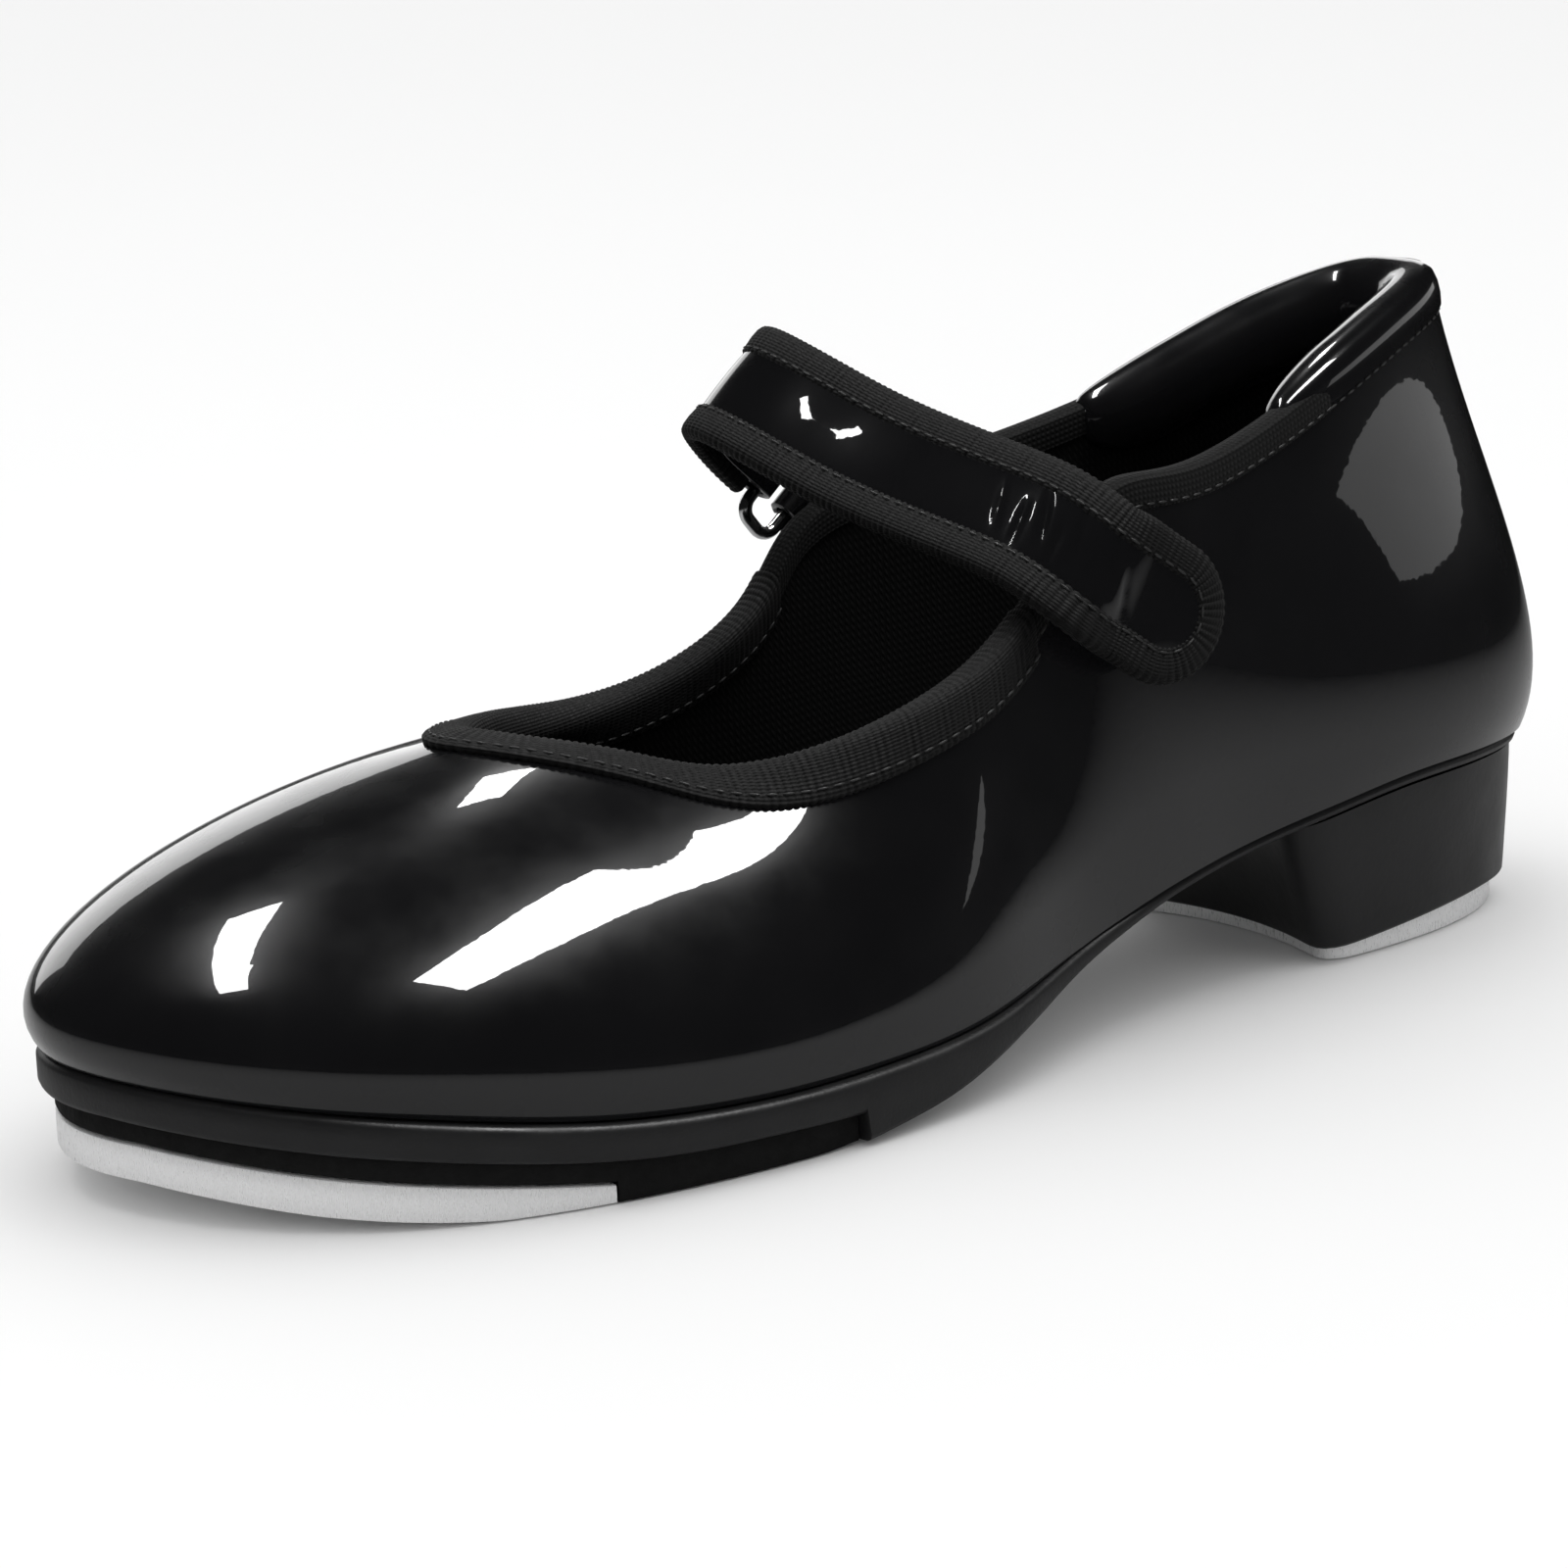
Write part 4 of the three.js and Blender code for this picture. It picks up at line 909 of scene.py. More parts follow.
def sole_layer(name, profile, x0=None, n=None, extra_x=(), across=7):
    """A layer of the sole. The profile gives (inset, height) points at x, from its underside up."""
    sides = outline_sides(x0, n or bpy.context.scene.shoe_sole.stations)
    for x in extra_x:
        for k, (u_from, u_to) in enumerate(SIDES):
            u = np.linspace(u_from, u_to, 4000)
            hit = u[int(np.argmax(section_at(u)[:, 0] >= x))]
            sides[k] = np.sort(np.append(sides[k], hit))[::1 if k == 0 else -1]
    columns = []
    for u in sides:
        s = section_at(u)
        outward = foot_outward(u)
        ring = []
        for inset, height in profile(s[:, 0]):
            push = (height_at(SOLE_FLARE, s[:, 0]) - inset)[:, None]
            point = np.stack([s[:, 0], s[:, 1], height], -1) + outward * push
            ring.append(point)
        columns.append(np.stack(ring, 1))
    a, b = columns
    t = np.linspace(0, 1, across + 2)[1:-1, None]
    top = a[:, -1:, :] * (1 - t) + b[:, -1:, :] * t
    under = b[:, :1, :] * (1 - t) + a[:, :1, :] * t
    rings = np.concatenate([a, top, b[:, ::-1], under], 1)
    return skin(name, rings, weld=True, sharp=50)


def rounded(low, high, r, inner=3.0, inset=0.0):
    """A rim from an inner point on the underside, round the edge, to one on the top."""
    r = np.minimum(r, (high - low) / 2 - 0.05)
    corner = [(0.0, 1.0), (0.29, 0.29), (1.0, 0.0)]
    points = [(inner, low)]
    points += [(inset + r * c, low + r * d) for d, c in corner]
    points += [(inset + r * c, high - r * d) for c, d in corner]
    points.append((inner, high))
    return points


def build_sole():
    settings = bpy.context.scene.shoe_sole
    step = HALF_SOLE_REAR_X

    def unit_profile(x):
        low = np.where(x < step, height_at(SOLE_BOTTOM, x), height_at(RECESS_TOP, x))
        return rounded(low, height_at(SEAT, x) - GAP, settings.rim_round)

    def half_profile(x):
        low = np.where(x < TAP_REAR_X - GAP, np.maximum(0, height_at(HALF_SOLE_BOTTOM, x)),
                       height_at(TAP_TOP, x) + GAP)
        return rounded(low, height_at(RECESS_TOP, x) - 0.05, 0.35, 3.5, TAP_INSET)

    unit_body = sole_layer("sole_unit", unit_profile, extra_x=(step - 0.05, step + 0.05))
    finish(unit_body, "moulded_sole", "moulded_sole", "sole_unit_front", "sole_unit_rear")
    bend_at_ball(unit_body)
    edge = TAP_REAR_X - GAP
    half = sole_layer("half_sole", half_profile, step, extra_x=(edge - 0.05, edge + 0.05))
    finish(half, "half_sole_rubber", "half_sole_rubber", "half_sole_front", "half_sole_rear")
    bend_at_ball(half)


BOARD_INSET = 0.8
BOARD_LIFT = 1.5
BOARD_THICK = 1.5
SOCK_LIFT = 3.3
SOCK_THICK = 2.0


def build_insole():
    inside = LINING_IN + LINING_THICK + BOARD_INSET

    def plate(lift, thick, edge):
        def profile(x):
            low = height_at(SEAT, x) + lift
            shift = height_at(SOLE_FLARE, x) + inside
            return [(inset + shift, height) for inset, height in rounded(low, low + thick, edge, 2.5)]
        return profile

    board = sole_layer("insole_board", plate(BOARD_LIFT, BOARD_THICK, 0.3), n=90)
    finish(board, "fibre_board", "fibre_board", "insole_board_front", "insole_board_rear")
    bend_at_ball(board)
    sock = sole_layer("footbed_sock", plate(SOCK_LIFT, SOCK_THICK, 0.8), n=90, across=11)
    finish(sock, "lining_cloth", "lining_cloth", "footbed_front", "footbed_rear")
    bend_at_ball(sock)


# ---- Heel and taps ----
def heel_plan(inset, front, n=96):
    """The plan of the heel: round at the back, with a hollow breast and soft corners in front."""
    u = np.concatenate([np.linspace(TOE_U, STATIONS, 700), np.linspace(0, TOE_U, 700)[1:]])
    p = section_at(u)[:, :2] - foot_outward(u)[:, :2] * inset
    shoulder = front - 3
    rear = p[p[:, 0] < shoulder]
    medial, lateral = rear[0, 1], rear[-1, 1]
    f = np.linspace(0.04, 0.96, 24)
    breast = np.stack([front - BREAST_HOLLOW * (1 - (2 * f - 1) ** 2), lateral + (medial - lateral) * f], -1)
    loop = np.vstack([rear, breast, rear[:1]])
    d = length_along(loop)
    at = np.linspace(0, d[-1], n + 1)[:-1]
    even = np.stack([np.interp(at, d, loop[:, k]) for k in (0, 1)], -1)
    for _ in range(2):
        even = (np.roll(even, 1, 0) + 2 * even + np.roll(even, -1, 0)) / 4
    return even


def heel_low(x):
    return height_at(HEEL_BOTTOM, x)


def build_heel():
    rings = []
    for s in (0, 0.012, 0.03, 0.15, 0.3, 0.45, 0.6, 0.75, 0.9, 1):
        worn = 0.45 * (1 - min(s / 0.03, 1)) ** 2
        inset = HEEL_INSET + HEEL_TAPER * (1 - s) ** 1.3 + worn
        p = heel_plan(inset, HEEL_BREAST_TOP_X - HEEL_BREAST_LEAN * (1 - s) - worn)
        low, high = heel_low(p[:, 0]), height_at(SOLE_BOTTOM, p[:, 0]) - GAP
        rings.append(np.column_stack([p, low + (high - low) * s]))
    heel = skin("stacked_heel", np.array(rings), sharp=35)
    finish(heel, "heel_lacquer", "heel_block", "heel_block")
    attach(heel, "rear")


HEAD_DEPTH = 0.0011
HEAD_LIFT = 0.75
CUTTER_DEPTH = 0.002
CUTTER_LIFT = 0.0007


def countersinks(spots, z):
    """Cone cutters for the tap screws, at the underside of a tap."""
    cutters = []
    radius = bpy.context.scene.shoe_taps.head_radius
    for k, (x, y) in enumerate(spots):
        bm = bmesh.new()
        bmesh.ops.create_cone(bm, cap_ends=True, segments=28, radius1=radius * 1.25, radius2=radius * 0.5,
                              depth=CUTTER_DEPTH)
        mesh = bpy.data.meshes.new(f"cutter_{k}")
        bm.to_mesh(mesh)
        bm.free()
        cutter = new_object(mesh.name, mesh)
        cutter.location = Vector(row((x, y, z(x)))) + Vector((0, 0, CUTTER_LIFT))
        cutters.append(cutter)
    bpy.context.view_layer.update()
    return cutters


def tap_screws(name, spots, z):
    settings = bpy.context.scene.shoe_taps
    mesh = bpy.data.meshes.new(name)
    mesh.from_pydata([tuple(row((x, y, z(x) + HEAD_LIFT))) for x, y in spots], [], [])
    obj = new_object(name, mesh)
    tree("screws_tree").run(obj, Head_Radius=settings.head_radius, Head_Depth=HEAD_DEPTH,
                            Slot_Width=settings.slot_width, Material=material("nickel_plate"))
    smooth(obj.data, 35)
    return obj


def fit_tap(plate, label, spots, z, body):
    """Sinks a tap's screws into it and fixes it to its body."""
    pierce(plate, countersinks(spots, z))
    smooth(plate.data, 35)
    finish(plate, "tap_aluminium", "tap_aluminium", f"{label}_tap")
    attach(plate, body)
    screws = tap_screws(f"{label}_plate_screws", spots, z)
    finish(screws, "nickel_plate", "plated_steel",
           *[f"{label}_tap_screw_{k + 1}" for k in range(len(spots))])
    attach(screws, body)


def tap_underside(x):
    return np.maximum(0, height_at(TAP_BOTTOM, x))


def build_taps():
    settings = bpy.context.scene.shoe_taps

    def toe_profile(x):
        return rounded(tap_underside(x), height_at(TAP_TOP, x), settings.bevel, 4.5, TAP_INSET)

    toe = sole_layer("toe_plate", toe_profile, TAP_REAR_X, n=90)
    fit_tap(toe, "toe", TOE_SCREWS, tap_underside, "forefoot")

    inset = HEEL_INSET + HEEL_TAPER + TAP_INSET
    b = settings.bevel
    c = b * 0.29
    rings = []
    for extra, low, up in ((b, 0, 0), (c, c, 0), (0, b, 0), (0, -b, 1), (c, -c, 1), (b, 0, 1)):
        p = heel_plan(inset + extra, HEEL_TAP_FRONT_X - extra)
        rings.append(np.column_stack([p, up * (heel_low(p[:, 0]) - 0.1) + low]))
    plate = skin("heel_plate", np.array(rings), sharp=35)
    fit_tap(plate, "heel", HEEL_SCREWS, lambda x: 0.0, "rear")


# ---- Strap, ring and keeper ----
RIM_STEP = 0.16


class StrapPath:
    """The strap's middle line from the ring, over the instep and down to its round tip."""

    def __init__(self):
        line = np.array(STRAP_LINE, float)
        self.knee = line[-1]
        self.down = unit(np.array(STRAP_END) - self.knee)
        tail = [self.knee + self.down * d for d in (5.5, TAB_REACH, TAB_REACH + 6, TAB_REACH + 12)]
        knots = np.vstack([line, tail])
        bend = bending(knots, False)
        t = np.linspace(0, len(knots) - 1, 1500)
        i = np.minimum(t.astype(int), len(knots) - 2)
        self.line = cubic(knots, bend, i, i + 1, t - i)
        self.d = length_along(self.line)
        at_knee = len(line) - 1
        self.knee_s = float(np.interp(at_knee, t, self.d))
        self.tip_s = float(np.interp(at_knee + 2, t, self.d))
        self.tangent = unit(np.gradient(self.line, axis=0))
        slant = unit(STRAP_SLANT)
        across = slant - self.tangent * (self.tangent @ slant)[:, None]
        self.across = unit(across)
        self.out = unit(np.cross(self.across, self.tangent))

    def at(self, s, a, b):
        """s along the strap, a across it, b out from the foot."""
        s, a, b = np.broadcast_arrays(*(np.asarray(k, float) for k in (s, a, b)))
        pick = lambda table: np.stack([np.interp(s, self.d, table[:, k]) for k in range(3)], -1)
        across, out = unit(pick(self.across)), unit(pick(self.out))
        return pick(self.line) + across * a[..., None] + out * b[..., None]

    def rim(self, radius, start):
        """(s, a), its outward direction and its length, round the strap's edge and tip."""
        straight = np.arange(start, self.tip_s, RIM_STEP)
        turn = np.linspace(0, math.pi, int(math.pi * radius / RIM_STEP))[1:-1]
        s = np.concatenate([straight, self.tip_s + radius * np.sin(turn), straight[::-1]])
        a = np.concatenate([np.full(len(straight), radius), radius * np.cos(turn),
                            np.full(len(straight), -radius)])
        ds = np.concatenate([np.zeros(len(straight)), np.sin(turn), np.zeros(len(straight))])
        da = np.concatenate([np.ones(len(straight)), np.cos(turn), -np.ones(len(straight))])
        return s, a, ds, da


def hinge_at_knee(obj):
    """Lets a strap piece fold below the knee, clear of the topline that it crosses above."""
    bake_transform(obj)
    return obj


STRAP_TAPE = [(-2.35, 0.7), (-2.3, 1.05), (-2.0, 1.28), (-1.2, 1.4), (0.0, 1.48), (1.2, 1.4), (1.9, 1.15),
              (2.25, 0.6), (2.35, 0.0), (2.25, -0.6), (1.9, -1.15), (1.2, -1.35), (0.0, -1.4),
              (-1.2, -1.35), (-2.0, -1.25), (-2.3, -1.0), (-2.35, -0.7)]
TAPE_RADIUS = 6.85
TAPE_START = 3.2
CORE_START = 2.6
STITCH_OFFSET = -1.75
STITCH_LIFTS = (1.44, -1.42)

# Each crease of the strap: distance before the knee, slope, middle across, depth.
CREASES = (
    (-3.5, 0.35, 1.5, 0.3), (-1.2, 0.3, -1.0, 0.42), (1.2, 0.2, 1.0, 0.38), (3.6, 0.42, -1.5, 0.45),
    (6.2, 0.25, 1.8, 0.35), (8.6, 0.5, -0.8, 0.4), (11.8, 0.3, 1.2, 0.25), (15.5, 0.45, 0.0, 0.2))
CREASE_WIDTH = 0.55


def crease(fold, a, where, slope, middle, depth):
    """How far one crease sinks the strap's face."""
    valley = np.exp(-(((fold - where) + slope * a) / CREASE_WIDTH) ** 2)
    return depth * valley * np.clip(1.4 - np.abs(a - middle) / 3, 0, 1)


def build_strap():
    path = StrapPath()
    columns = np.linspace(-1, 1, 25)
    a = columns * STRAP_CORE_HALF
    t = np.linspace(0, 1, 260)
    s_end = path.tip_s + np.sqrt(np.maximum(STRAP_CORE_HALF**2 - a**2, 0))
    s = CORE_START + (s_end[None] - CORE_START) * t[:, None]
    a = np.broadcast_to(a, s.shape)
    fold = path.knee_s - s
    creases = sum(crease(fold, a, *shape) for shape in CREASES)
    crown = 1.0 + 0.22 * (1 - (a / STRAP_CORE_HALF) ** 2)
    top = path.at(s, a, crown - creases)
    under = path.at(s, a, -1.0)[:, ::-1]
    strap = skin("strap_band", np.concatenate([top, under], 1), sharp=60)
    finish(strap, "patent_leather", "patent_leather", "strap_core", "tab_core")
    hinge_at_knee(strap)

    s, a, ds, da = path.rim(TAPE_RADIUS, TAPE_START)
    q, b = np.array(STRAP_TAPE).T
    points = path.at(s[:, None] + ds[:, None] * q, a[:, None] + da[:, None] * q, b[None])
    along = length_along(np.column_stack([s, a])) * MM
    across = length_along(np.array(STRAP_TAPE)) * MM
    tape = ribbed(skin("strap_tape", points, along=along, across=across))
    finish(tape, "ribbed_tape", "ribbed_tape", "strap_binding_front", "strap_binding_rear",
           "tab_binding")
    hinge_at_knee(tape)
    lines = [path.at(s + ds * STITCH_OFFSET, a + da * STITCH_OFFSET, lift) for lift in STITCH_LIFTS]
    hinge_at_knee(stitch_row("strap_stitches", lines))
    build_strap_loop(path)


def ribbon(name, path, thick, axis, half, edge=0.25):
    """A band of leather along a path in a plane, its width along the axis, with rounded edges."""
    path = np.asarray(path, float)
    side = unit(np.cross(unit(np.gradient(path, axis=0)), axis))
    w = np.array([(-half, 0), (-half + edge, thick / 2), (0, thick / 2), (half - edge, thick / 2), (half, 0),
                  (half - edge, -thick / 2), (0, -thick / 2), (-half + edge, -thick / 2)])
    rings = path[:, None] + np.asarray(axis)[None, None] * w[None, :, :1] + side[:, None] * w[None, :, 1:]
    return skin(name, rings, sharp=60)


def rounded_path(points, radius_steps=10):
    """A smooth path through hand-placed points."""
    knots = np.asarray(points, float)
    bend = bending(knots, False)
    t = np.linspace(0, len(knots) - 1, (len(knots) - 1) * radius_steps)
    i = np.minimum(t.astype(int), len(knots) - 2)
    return cubic(knots, bend, i, i + 1, t - i)


LOOP_RADIUS = 1.75
LOOP_THICK = 0.9


def loop_round(centre, x, y, first, last, count):
    """Points round a bar of the ring, from the first angle to the last."""
    turn = np.radians(np.linspace(first, last, count))
    return [centre + LOOP_RADIUS * (x * math.cos(k) + y * math.sin(k)) for k in turn]


def build_strap_loop(path):
    """The strap's end, turned round the ring's upper bar and sewn back under itself."""
    slant = unit(STRAP_SLANT)
    centre = np.array(RING_UPPER, float)
    x = path.tangent[0]
    y = unit(np.cross(slant, x))
    arc = loop_round(centre, x, y, 250, 110, 9)
    lead = [path.at(s, 0, -LOOP_RADIUS) for s in (13, 9, 5)]
    tail = [path.at(s, 0, lift) for s, lift in ((3, 1.35), (6, 1.2))]
    loop = ribbon("strap_end_loop", rounded_path([*lead, *arc, *tail], 6), LOOP_THICK, slant, 7.4)
    finish(loop, "patent_leather", "patent_leather")
    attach(loop, "strap")


def build_ring():
    slant = unit(STRAP_SLANT)
    low, high = np.array(RING_LOWER, float), np.array(RING_UPPER, float)
    rise = unit(high - low)
    face = np.cross(slant, rise)
    centre, half_high = (low + high) / 2, np.linalg.norm(high - low) / 2
    corner, wire, sides = 2.2, 0.9, 16
    rings = []
    for sx, sy, start in ((1, 1, 0), (-1, 1, 0.5), (-1, -1, 1), (1, -1, 1.5)):
        for angle in np.linspace(start, start + 0.5, 9) * math.pi:
            out = slant * math.cos(angle) + rise * math.sin(angle)
            at = centre + slant * sx * (RING_HALF - corner) + rise * sy * (half_high - corner) + out * corner
            k = np.arange(sides) / sides * 2 * math.pi
            rings.append(at + np.outer(np.cos(k), out) * wire + np.outer(np.sin(k), face) * wire)
    ring = skin("wire_ring", np.array(rings), closed=True, sharp=80)
    finish(ring, "nickel_plate", "plated_steel", "ring")
    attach(ring, "strap_ring")


def build_keeper():
    """The tab sewn to the inner quarter that holds the ring's lower bar."""
    slant = unit(STRAP_SLANT)
    centre = np.array(RING_LOWER, float)
    u = (22.35 + 23.25) / 2
    foot = [edge_point(u, out, down) for out, down in ((0.7, 13.5), (1.1, 10.5), (2.2, 7.0), (2.8, 4.0))]
    rise = unit(np.array(RING_UPPER, float) - centre)
    face = unit(np.cross(rise, slant))
    face = face if face @ face_frame(u, 1.0)[2] > 0 else -face
    arc = loop_round(centre, face, rise, -20, 215, 12)
    back = [edge_point(u, 1.5, 3.5), edge_point(u, 1.25, 6.5)]
    route = rounded_path([*foot, *arc, *back], 6)
    keeper = ribbon("ring_keeper_tab", route, LOOP_THICK, slant, 6.3)
    finish(keeper, "patent_leather", "patent_leather", "ring_keeper")
    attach(keeper, "rear")


FIBRES_PER_AREA = 5200000
FIBRE_HEIGHT = 0.0005


def build_fastener():
    for name, node, body, seed in (("hook_tape", "hook_patch", "strap_tab", 3),
                                   ("loop_tape", "loop_patch", "rear", 8)):
        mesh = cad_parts[node].data.copy()
        mesh.name = name
        merged(mesh)
        obj = new_object(name, mesh)
        tree("pile_tree").run(obj, Fibre_Count=FIBRES_PER_AREA, Fibre_Height=FIBRE_HEIGHT, Seed=seed,
                              Material=material("nylon_pile"))
        finish(obj, "nylon_pile", "hook_and_loop", node)
        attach(obj, body)


HIDDEN_FINISHES = {
    "stiffener_felt": ("toe_puff", "bottom_filler"),
    "fibre_board": ("heel_counter",),
    "nickel_plate": ("shank", "heel_nail_1", "heel_nail_2", "heel_nail_3", "heel_nail_4"),
}


def paint_core():
    for name, nodes in HIDDEN_FINISHES.items():
        for node in nodes:
            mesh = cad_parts[node].data
            mesh.materials.clear()
            mesh.materials.append(material(name))


# ---- Stage ----
def card_light(name, seen_from, towards, size, along, radiance, distance=2.0):
    """A glowing card that only gloss sees. It stands away from a point of the shoe, facing it."""
    back = Vector(towards).normalized()
    across = Vector(along) - back * Vector(along).dot(back)
    across.normalize()
    data = bpy.data.lights.new(name, "AREA")
    data.shape = "RECTANGLE"
    data.size, data.size_y = size
    data.energy = radiance * math.pi * size[0] * size[1]
    light = bpy.data.objects.new(name, data)
    light.matrix_world = Matrix((across, back.cross(across), back)).transposed().to_4x4()
    light.matrix_world.translation = Vector(row(seen_from)) + back * distance
    light.visible_diffuse = False
    light.visible_camera = False
    bpy.context.scene.collection.objects.link(light)
    return light


# Distance in metres over which the floor fades from gloss, and how much of it gloss loses.
FLOOR_FADE = {"From Min": 0.15, "From Max": 0.45, "To Min": 0.5, "To Max": 1.0}


def dim_in_gloss(s, place):
    """Gloss sees the floor dimly near the shoe, and not at all farther off."""
    reach = s.node("ShaderNodeVectorMath", operation="LENGTH")
    s.link(place, reach.inputs[0])
    fade = s.node("ShaderNodeMapRange", {"Value": reach.outputs["Value"], **FLOOR_FADE})
    rays = s.node("ShaderNodeLightPath")
    # a faint painted glow on the floor, seen only in gloss, stands for the reflection of a dim room
    room_glow = s.node("ShaderNodeEmission", {"Strength": bpy.context.scene.shoe_stage.room})
    part = s.math("MULTIPLY", rays.outputs["Is Glossy Ray"], fade.outputs["Result"])
    mix = s.node("ShaderNodeMixShader")
    s.feed(mix.inputs, part, s.surface.outputs["BSDF"], room_glow.outputs["Emission"])
    s.link(mix.outputs["Shader"], s.output.inputs["Surface"])


def build_floor():
    far = 6.0
    corners = [(-far, -far, 0), (far, -far, 0), (far, far, 0), (-far, far, 0)]
    mesh = bpy.data.meshes.new("studio_floor")
    mesh.from_pydata(corners, [], [(0, 1, 2, 3)])
    floor = new_object("studio_floor", mesh)
    s = Shader("studio floor")
    colour = bpy.context.scene.shoe_stage.floor_colour
    s.set(Specular_IOR_Level=0.1)
    place = s.place()
    s.colours(s.noise(place, 1.5), *shades(colour, 0.99, 1.01))
    s.ramp(s.noise(place, 3.0), 0.8, 0.9, "Roughness")
    dim_in_gloss(s, place)
    floor.data.materials.append(s.material)
    floor.location.z = -0.0002


def build_world():
    """Pale air behind the shoe, and a dim room in its gloss."""
    settings = bpy.context.scene.shoe_stage
    world = bpy.data.worlds.new("studio air")
    bpy.context.scene.world = world
    world.use_nodes = True
    air = Wiring(world.node_tree)
    air.tree.nodes.clear()
    rays = air.node("ShaderNodeLightPath")
    seen, room = (
        air.node("ShaderNodeBackground", {"Color": (1, 1, 1, 1), "Strength": strength}).outputs["Background"]
        for strength in (settings.surround, settings.room))
    mix = air.node("ShaderNodeMixShader")
    air.feed(mix.inputs, rays.outputs["Is Glossy Ray"], seen, room)
    air.node("ShaderNodeOutputWorld", {"Surface": mix.outputs["Shader"]})


CAMERA_TARGET = (110, 0, 35)
CAMERA_YAW = 36.693
CAMERA_RISE = 13.409
CAMERA_DISTANCE = 675.6
CAMERA_ROLL = -2.311
CAMERA_LENS = 122.01
CAMERA_SHIFT = (-0.0397, -0.0161)


def build_camera():
    yaw, rise, roll = (math.radians(k) for k in (CAMERA_YAW, CAMERA_RISE, CAMERA_ROLL))
    back = np.array([math.sin(yaw) * math.cos(rise), math.cos(yaw) * math.cos(rise), math.sin(rise)])
    place = row(np.array(CAMERA_TARGET) + back * CAMERA_DISTANCE)
    right = unit(np.cross(-back, (0, 0, 1)))
    up = np.cross(right, -back)
    r = right * math.cos(roll) + up * math.sin(roll)
    u = -right * math.sin(roll) + up * math.cos(roll)
    data = bpy.data.cameras.new("studio camera")
    data.sensor_width = 36
    data.lens = CAMERA_LENS
    data.shift_x, data.shift_y = CAMERA_SHIFT
    data.clip_start = 0.01
    camera = bpy.data.objects.new("studio camera", data)
    camera.matrix_world = Matrix((
        (r[0], u[0], back[0], place[0]), (r[1], u[1], back[1], place[1]), (r[2], u[2], back[2], place[2]),
        (0, 0, 0, 1)))
    bpy.context.scene.collection.objects.link(camera)
    bpy.context.scene.camera = camera


# Each card: seen from, towards, size, long side, radiance.
CARDS = {
    "toe card": ((208, 14, 30), (0.21, -0.345, 0.915), (1.24, 0.22), (1, 1, 0.1), 30),
    "vamp card": ((170, 30, 33), (-0.275, 0.298, 0.914), (1.2, 0.46), (-0.84, -0.54, 0), 30),
    "throat card": ((170, 10, 44), (-0.4, -0.515, 0.757), (0.28, 0.17), (0.065, 0.087, 0.095), 30),
    "far card": ((190, -10, 40), (-0.4, -0.88, 0.2), (2.2, 0.75), (1, -0.45, 0), 1.6),
    "heel card": ((40, 25, 60), (-0.969, 0.206, 0.139), (1.95, 0.28), (-0.208, -0.978, 0), 0.9),
    "strap card": ((106, -11, 79), (0.318, -0.217, 0.923), (0.16, 0.05), (0.6, 0.5, 0), 30),
}
NOT_ON_STRAP = ("toe card", "vamp card")


def keep_off(light, *names):
    """Stops a card from showing in the named pieces."""
    spared = bpy.data.collections.new(light.name + " spares")
    for name in names:
        spared.objects.link(bpy.data.objects[name])
    light.light_linking.receiver_collection = spared
    for entry in spared.collection_objects:
        entry.light_linking.link_state = "EXCLUDE"


def build_lights():
    data = bpy.data.lights.new("overhead", "AREA")
    data.size = 1.2
    data.energy = bpy.context.scene.shoe_stage.overhead
    overhead = bpy.data.objects.new("overhead", data)
    overhead.location = (0.1, 0.1, 1.4)
    overhead.visible_glossy = False
    bpy.context.scene.collection.objects.link(overhead)
    for name, card in CARDS.items():
        light = card_light(name, *card)
        if name in NOT_ON_STRAP:
            keep_off(light, "strap_band")
    bpy.context.scene.view_settings.view_transform = "Standard"


# ---- The add-on ----
def operator(key, label, doc, *makers):
    """An operator class that runs the makers in turn."""
    def execute(self, context):
        for make in makers:
            make()
        return {"FINISHED"}
    body = {"bl_idname": f"shoe.{key}", "bl_label": label, "__doc__": doc, "execute": execute}
    return type(f"SHOE_OT_{key}", (bpy.types.Operator,), body)


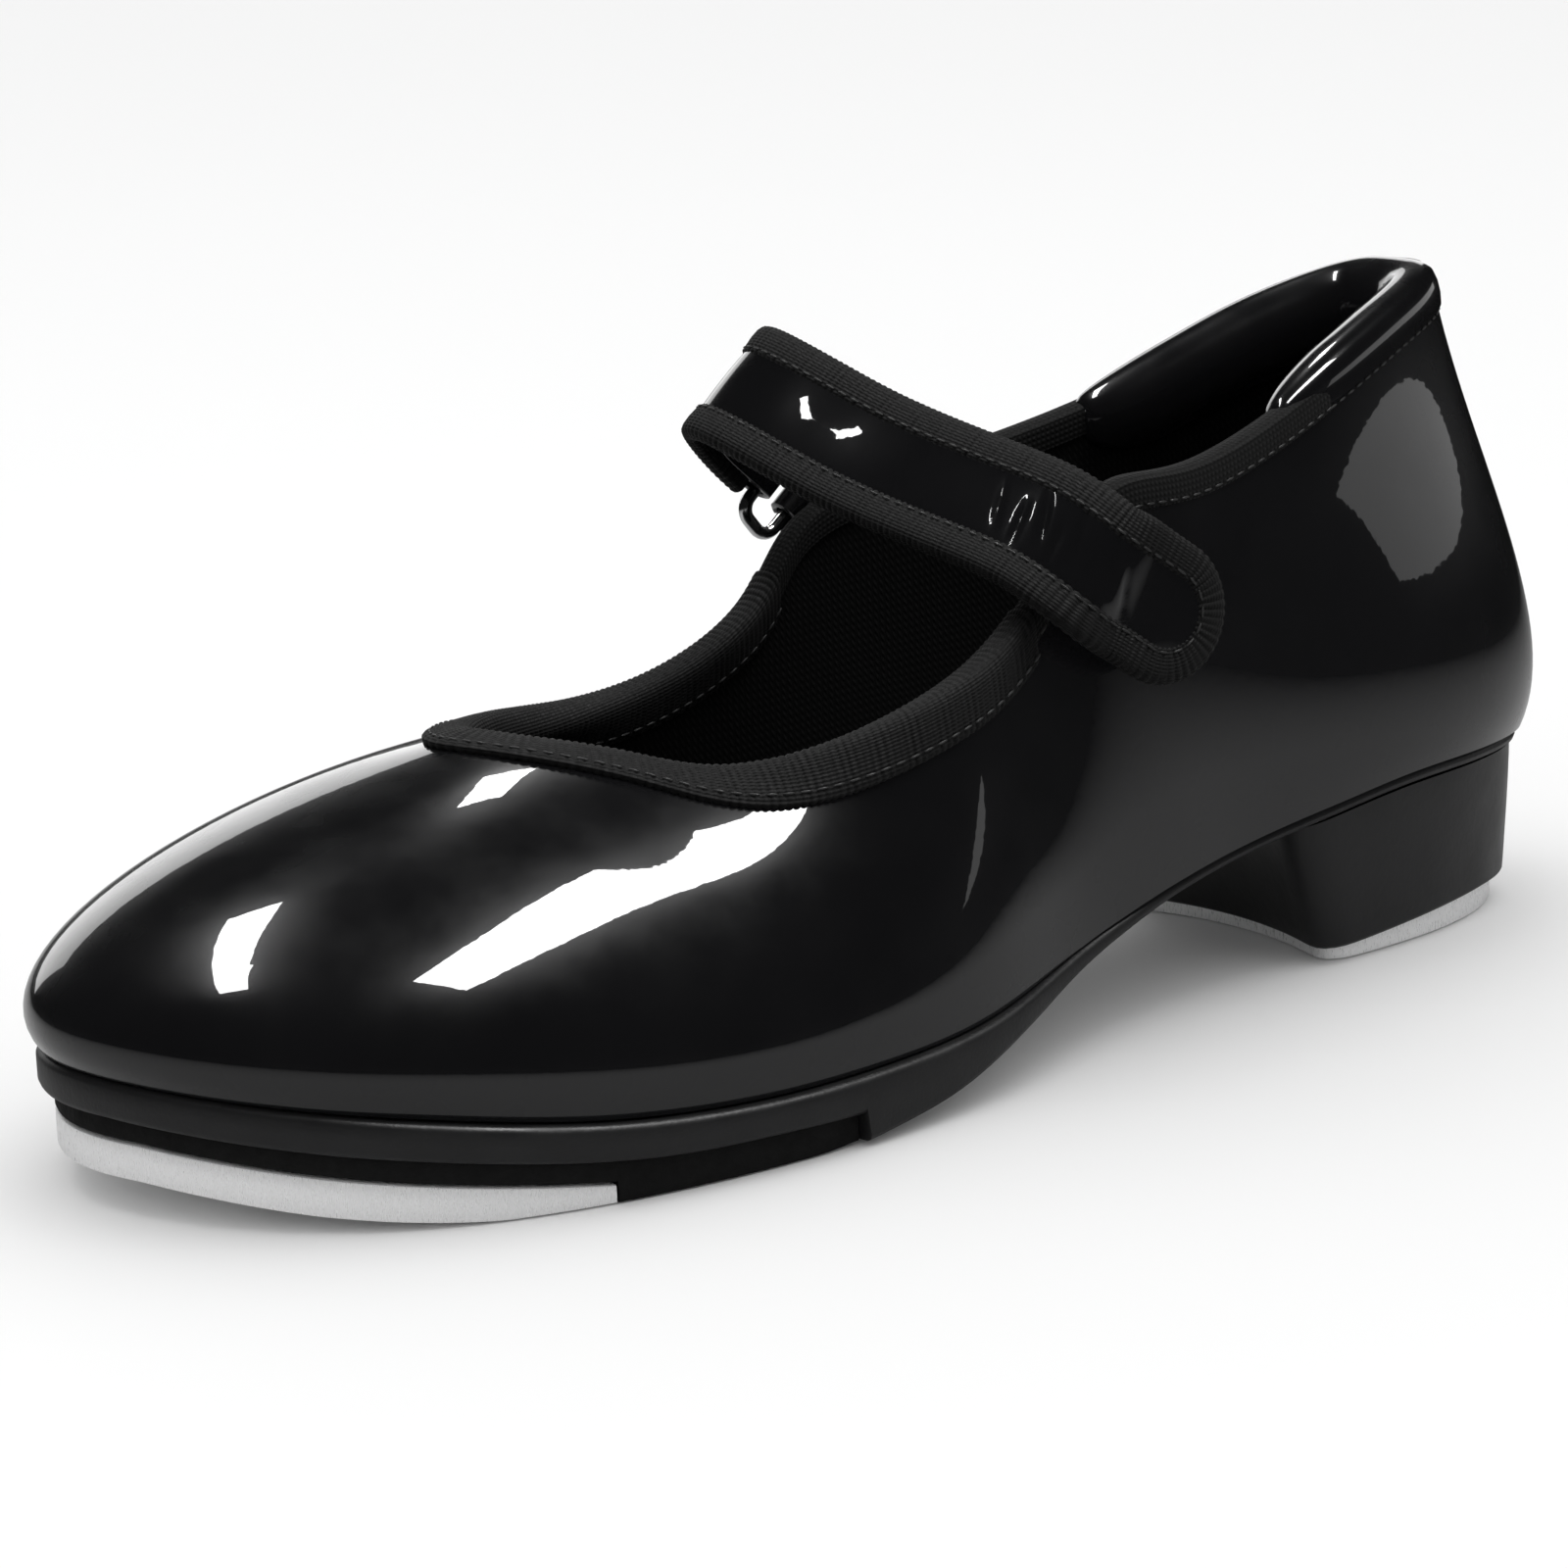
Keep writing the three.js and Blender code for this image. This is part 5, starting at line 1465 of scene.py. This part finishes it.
OPERATORS = (
    operator("upper", "Build Upper", "Make the patent upper and its back seam", build_upper, build_back_seam),
    operator("lining", "Build Lining", "Make the cloth lining of the upper", build_lining),
    operator("bindings", "Build Bindings", "Make the ribbed and flat tapes on the top edge", build_bindings),
    operator("collar", "Build Collar", "Make the padded collar round the heel", build_collar),
    operator("sole", "Build Sole", "Make the sole unit and the rubber half sole", build_sole),
    operator("insole", "Build Insole", "Make the insole board and the sock", build_insole),
    operator("heel", "Build Heel", "Make the heel block", build_heel),
    operator("taps", "Build Taps", "Make the toe and heel taps with their screws", build_taps),
    operator("strap", "Build Strap", "Make the strap, its tape and its loop", build_strap),
    operator("ring", "Build Ring", "Make the ring and the tab that keeps it", build_ring, build_keeper),
    operator("fastener", "Build Fastener", "Make the hook and loop patches", build_fastener),
    operator("core", "Paint Core", "Give the hidden stiffeners and fixings their finishes", paint_core),
    operator("stage", "Build Stage", "Make the floor, air, lights and camera", build_floor, build_world,
             build_lights, build_camera),
)


class SHOE_PT_panel(bpy.types.Panel):
    """Lists the shoe's pieces and settings"""
    bl_idname = "SHOE_PT_panel"
    bl_label = "Tap Shoe"
    bl_space_type = "VIEW_3D"
    bl_region_type = "UI"
    bl_category = "Tap Shoe"

    def draw(self, context):
        for cls in OPERATORS:
            self.layout.operator(cls.bl_idname)
        for key in SETTINGS:
            group = getattr(context.scene, key)
            box = self.layout.box()
            for name in group.bl_rna.properties.keys():
                if name not in ("rna_type", "name"):
                    box.prop(group, name)


SETTINGS = {
    "shoe_upper": UpperSettings,
    "shoe_tape": TapeSettings,
    "shoe_sole": SoleSettings,
    "shoe_taps": TapSettings,
    "shoe_stage": StageSettings,
}


def register():
    for key, cls in SETTINGS.items():
        bpy.utils.register_class(cls)
        setattr(bpy.types.Scene, key, PointerProperty(type=cls))
    for cls in (*OPERATORS, SHOE_PT_panel):
        bpy.utils.register_class(cls)


def unregister():
    for cls in reversed((*OPERATORS, SHOE_PT_panel)):
        bpy.utils.unregister_class(cls)
    for key, cls in SETTINGS.items():
        delattr(bpy.types.Scene, key)
        bpy.utils.unregister_class(cls)


def main():
    register()
    for cls in OPERATORS:
        getattr(bpy.ops.shoe, cls.bl_idname.split(".")[1])()


if __name__ == "__main__":
    main()
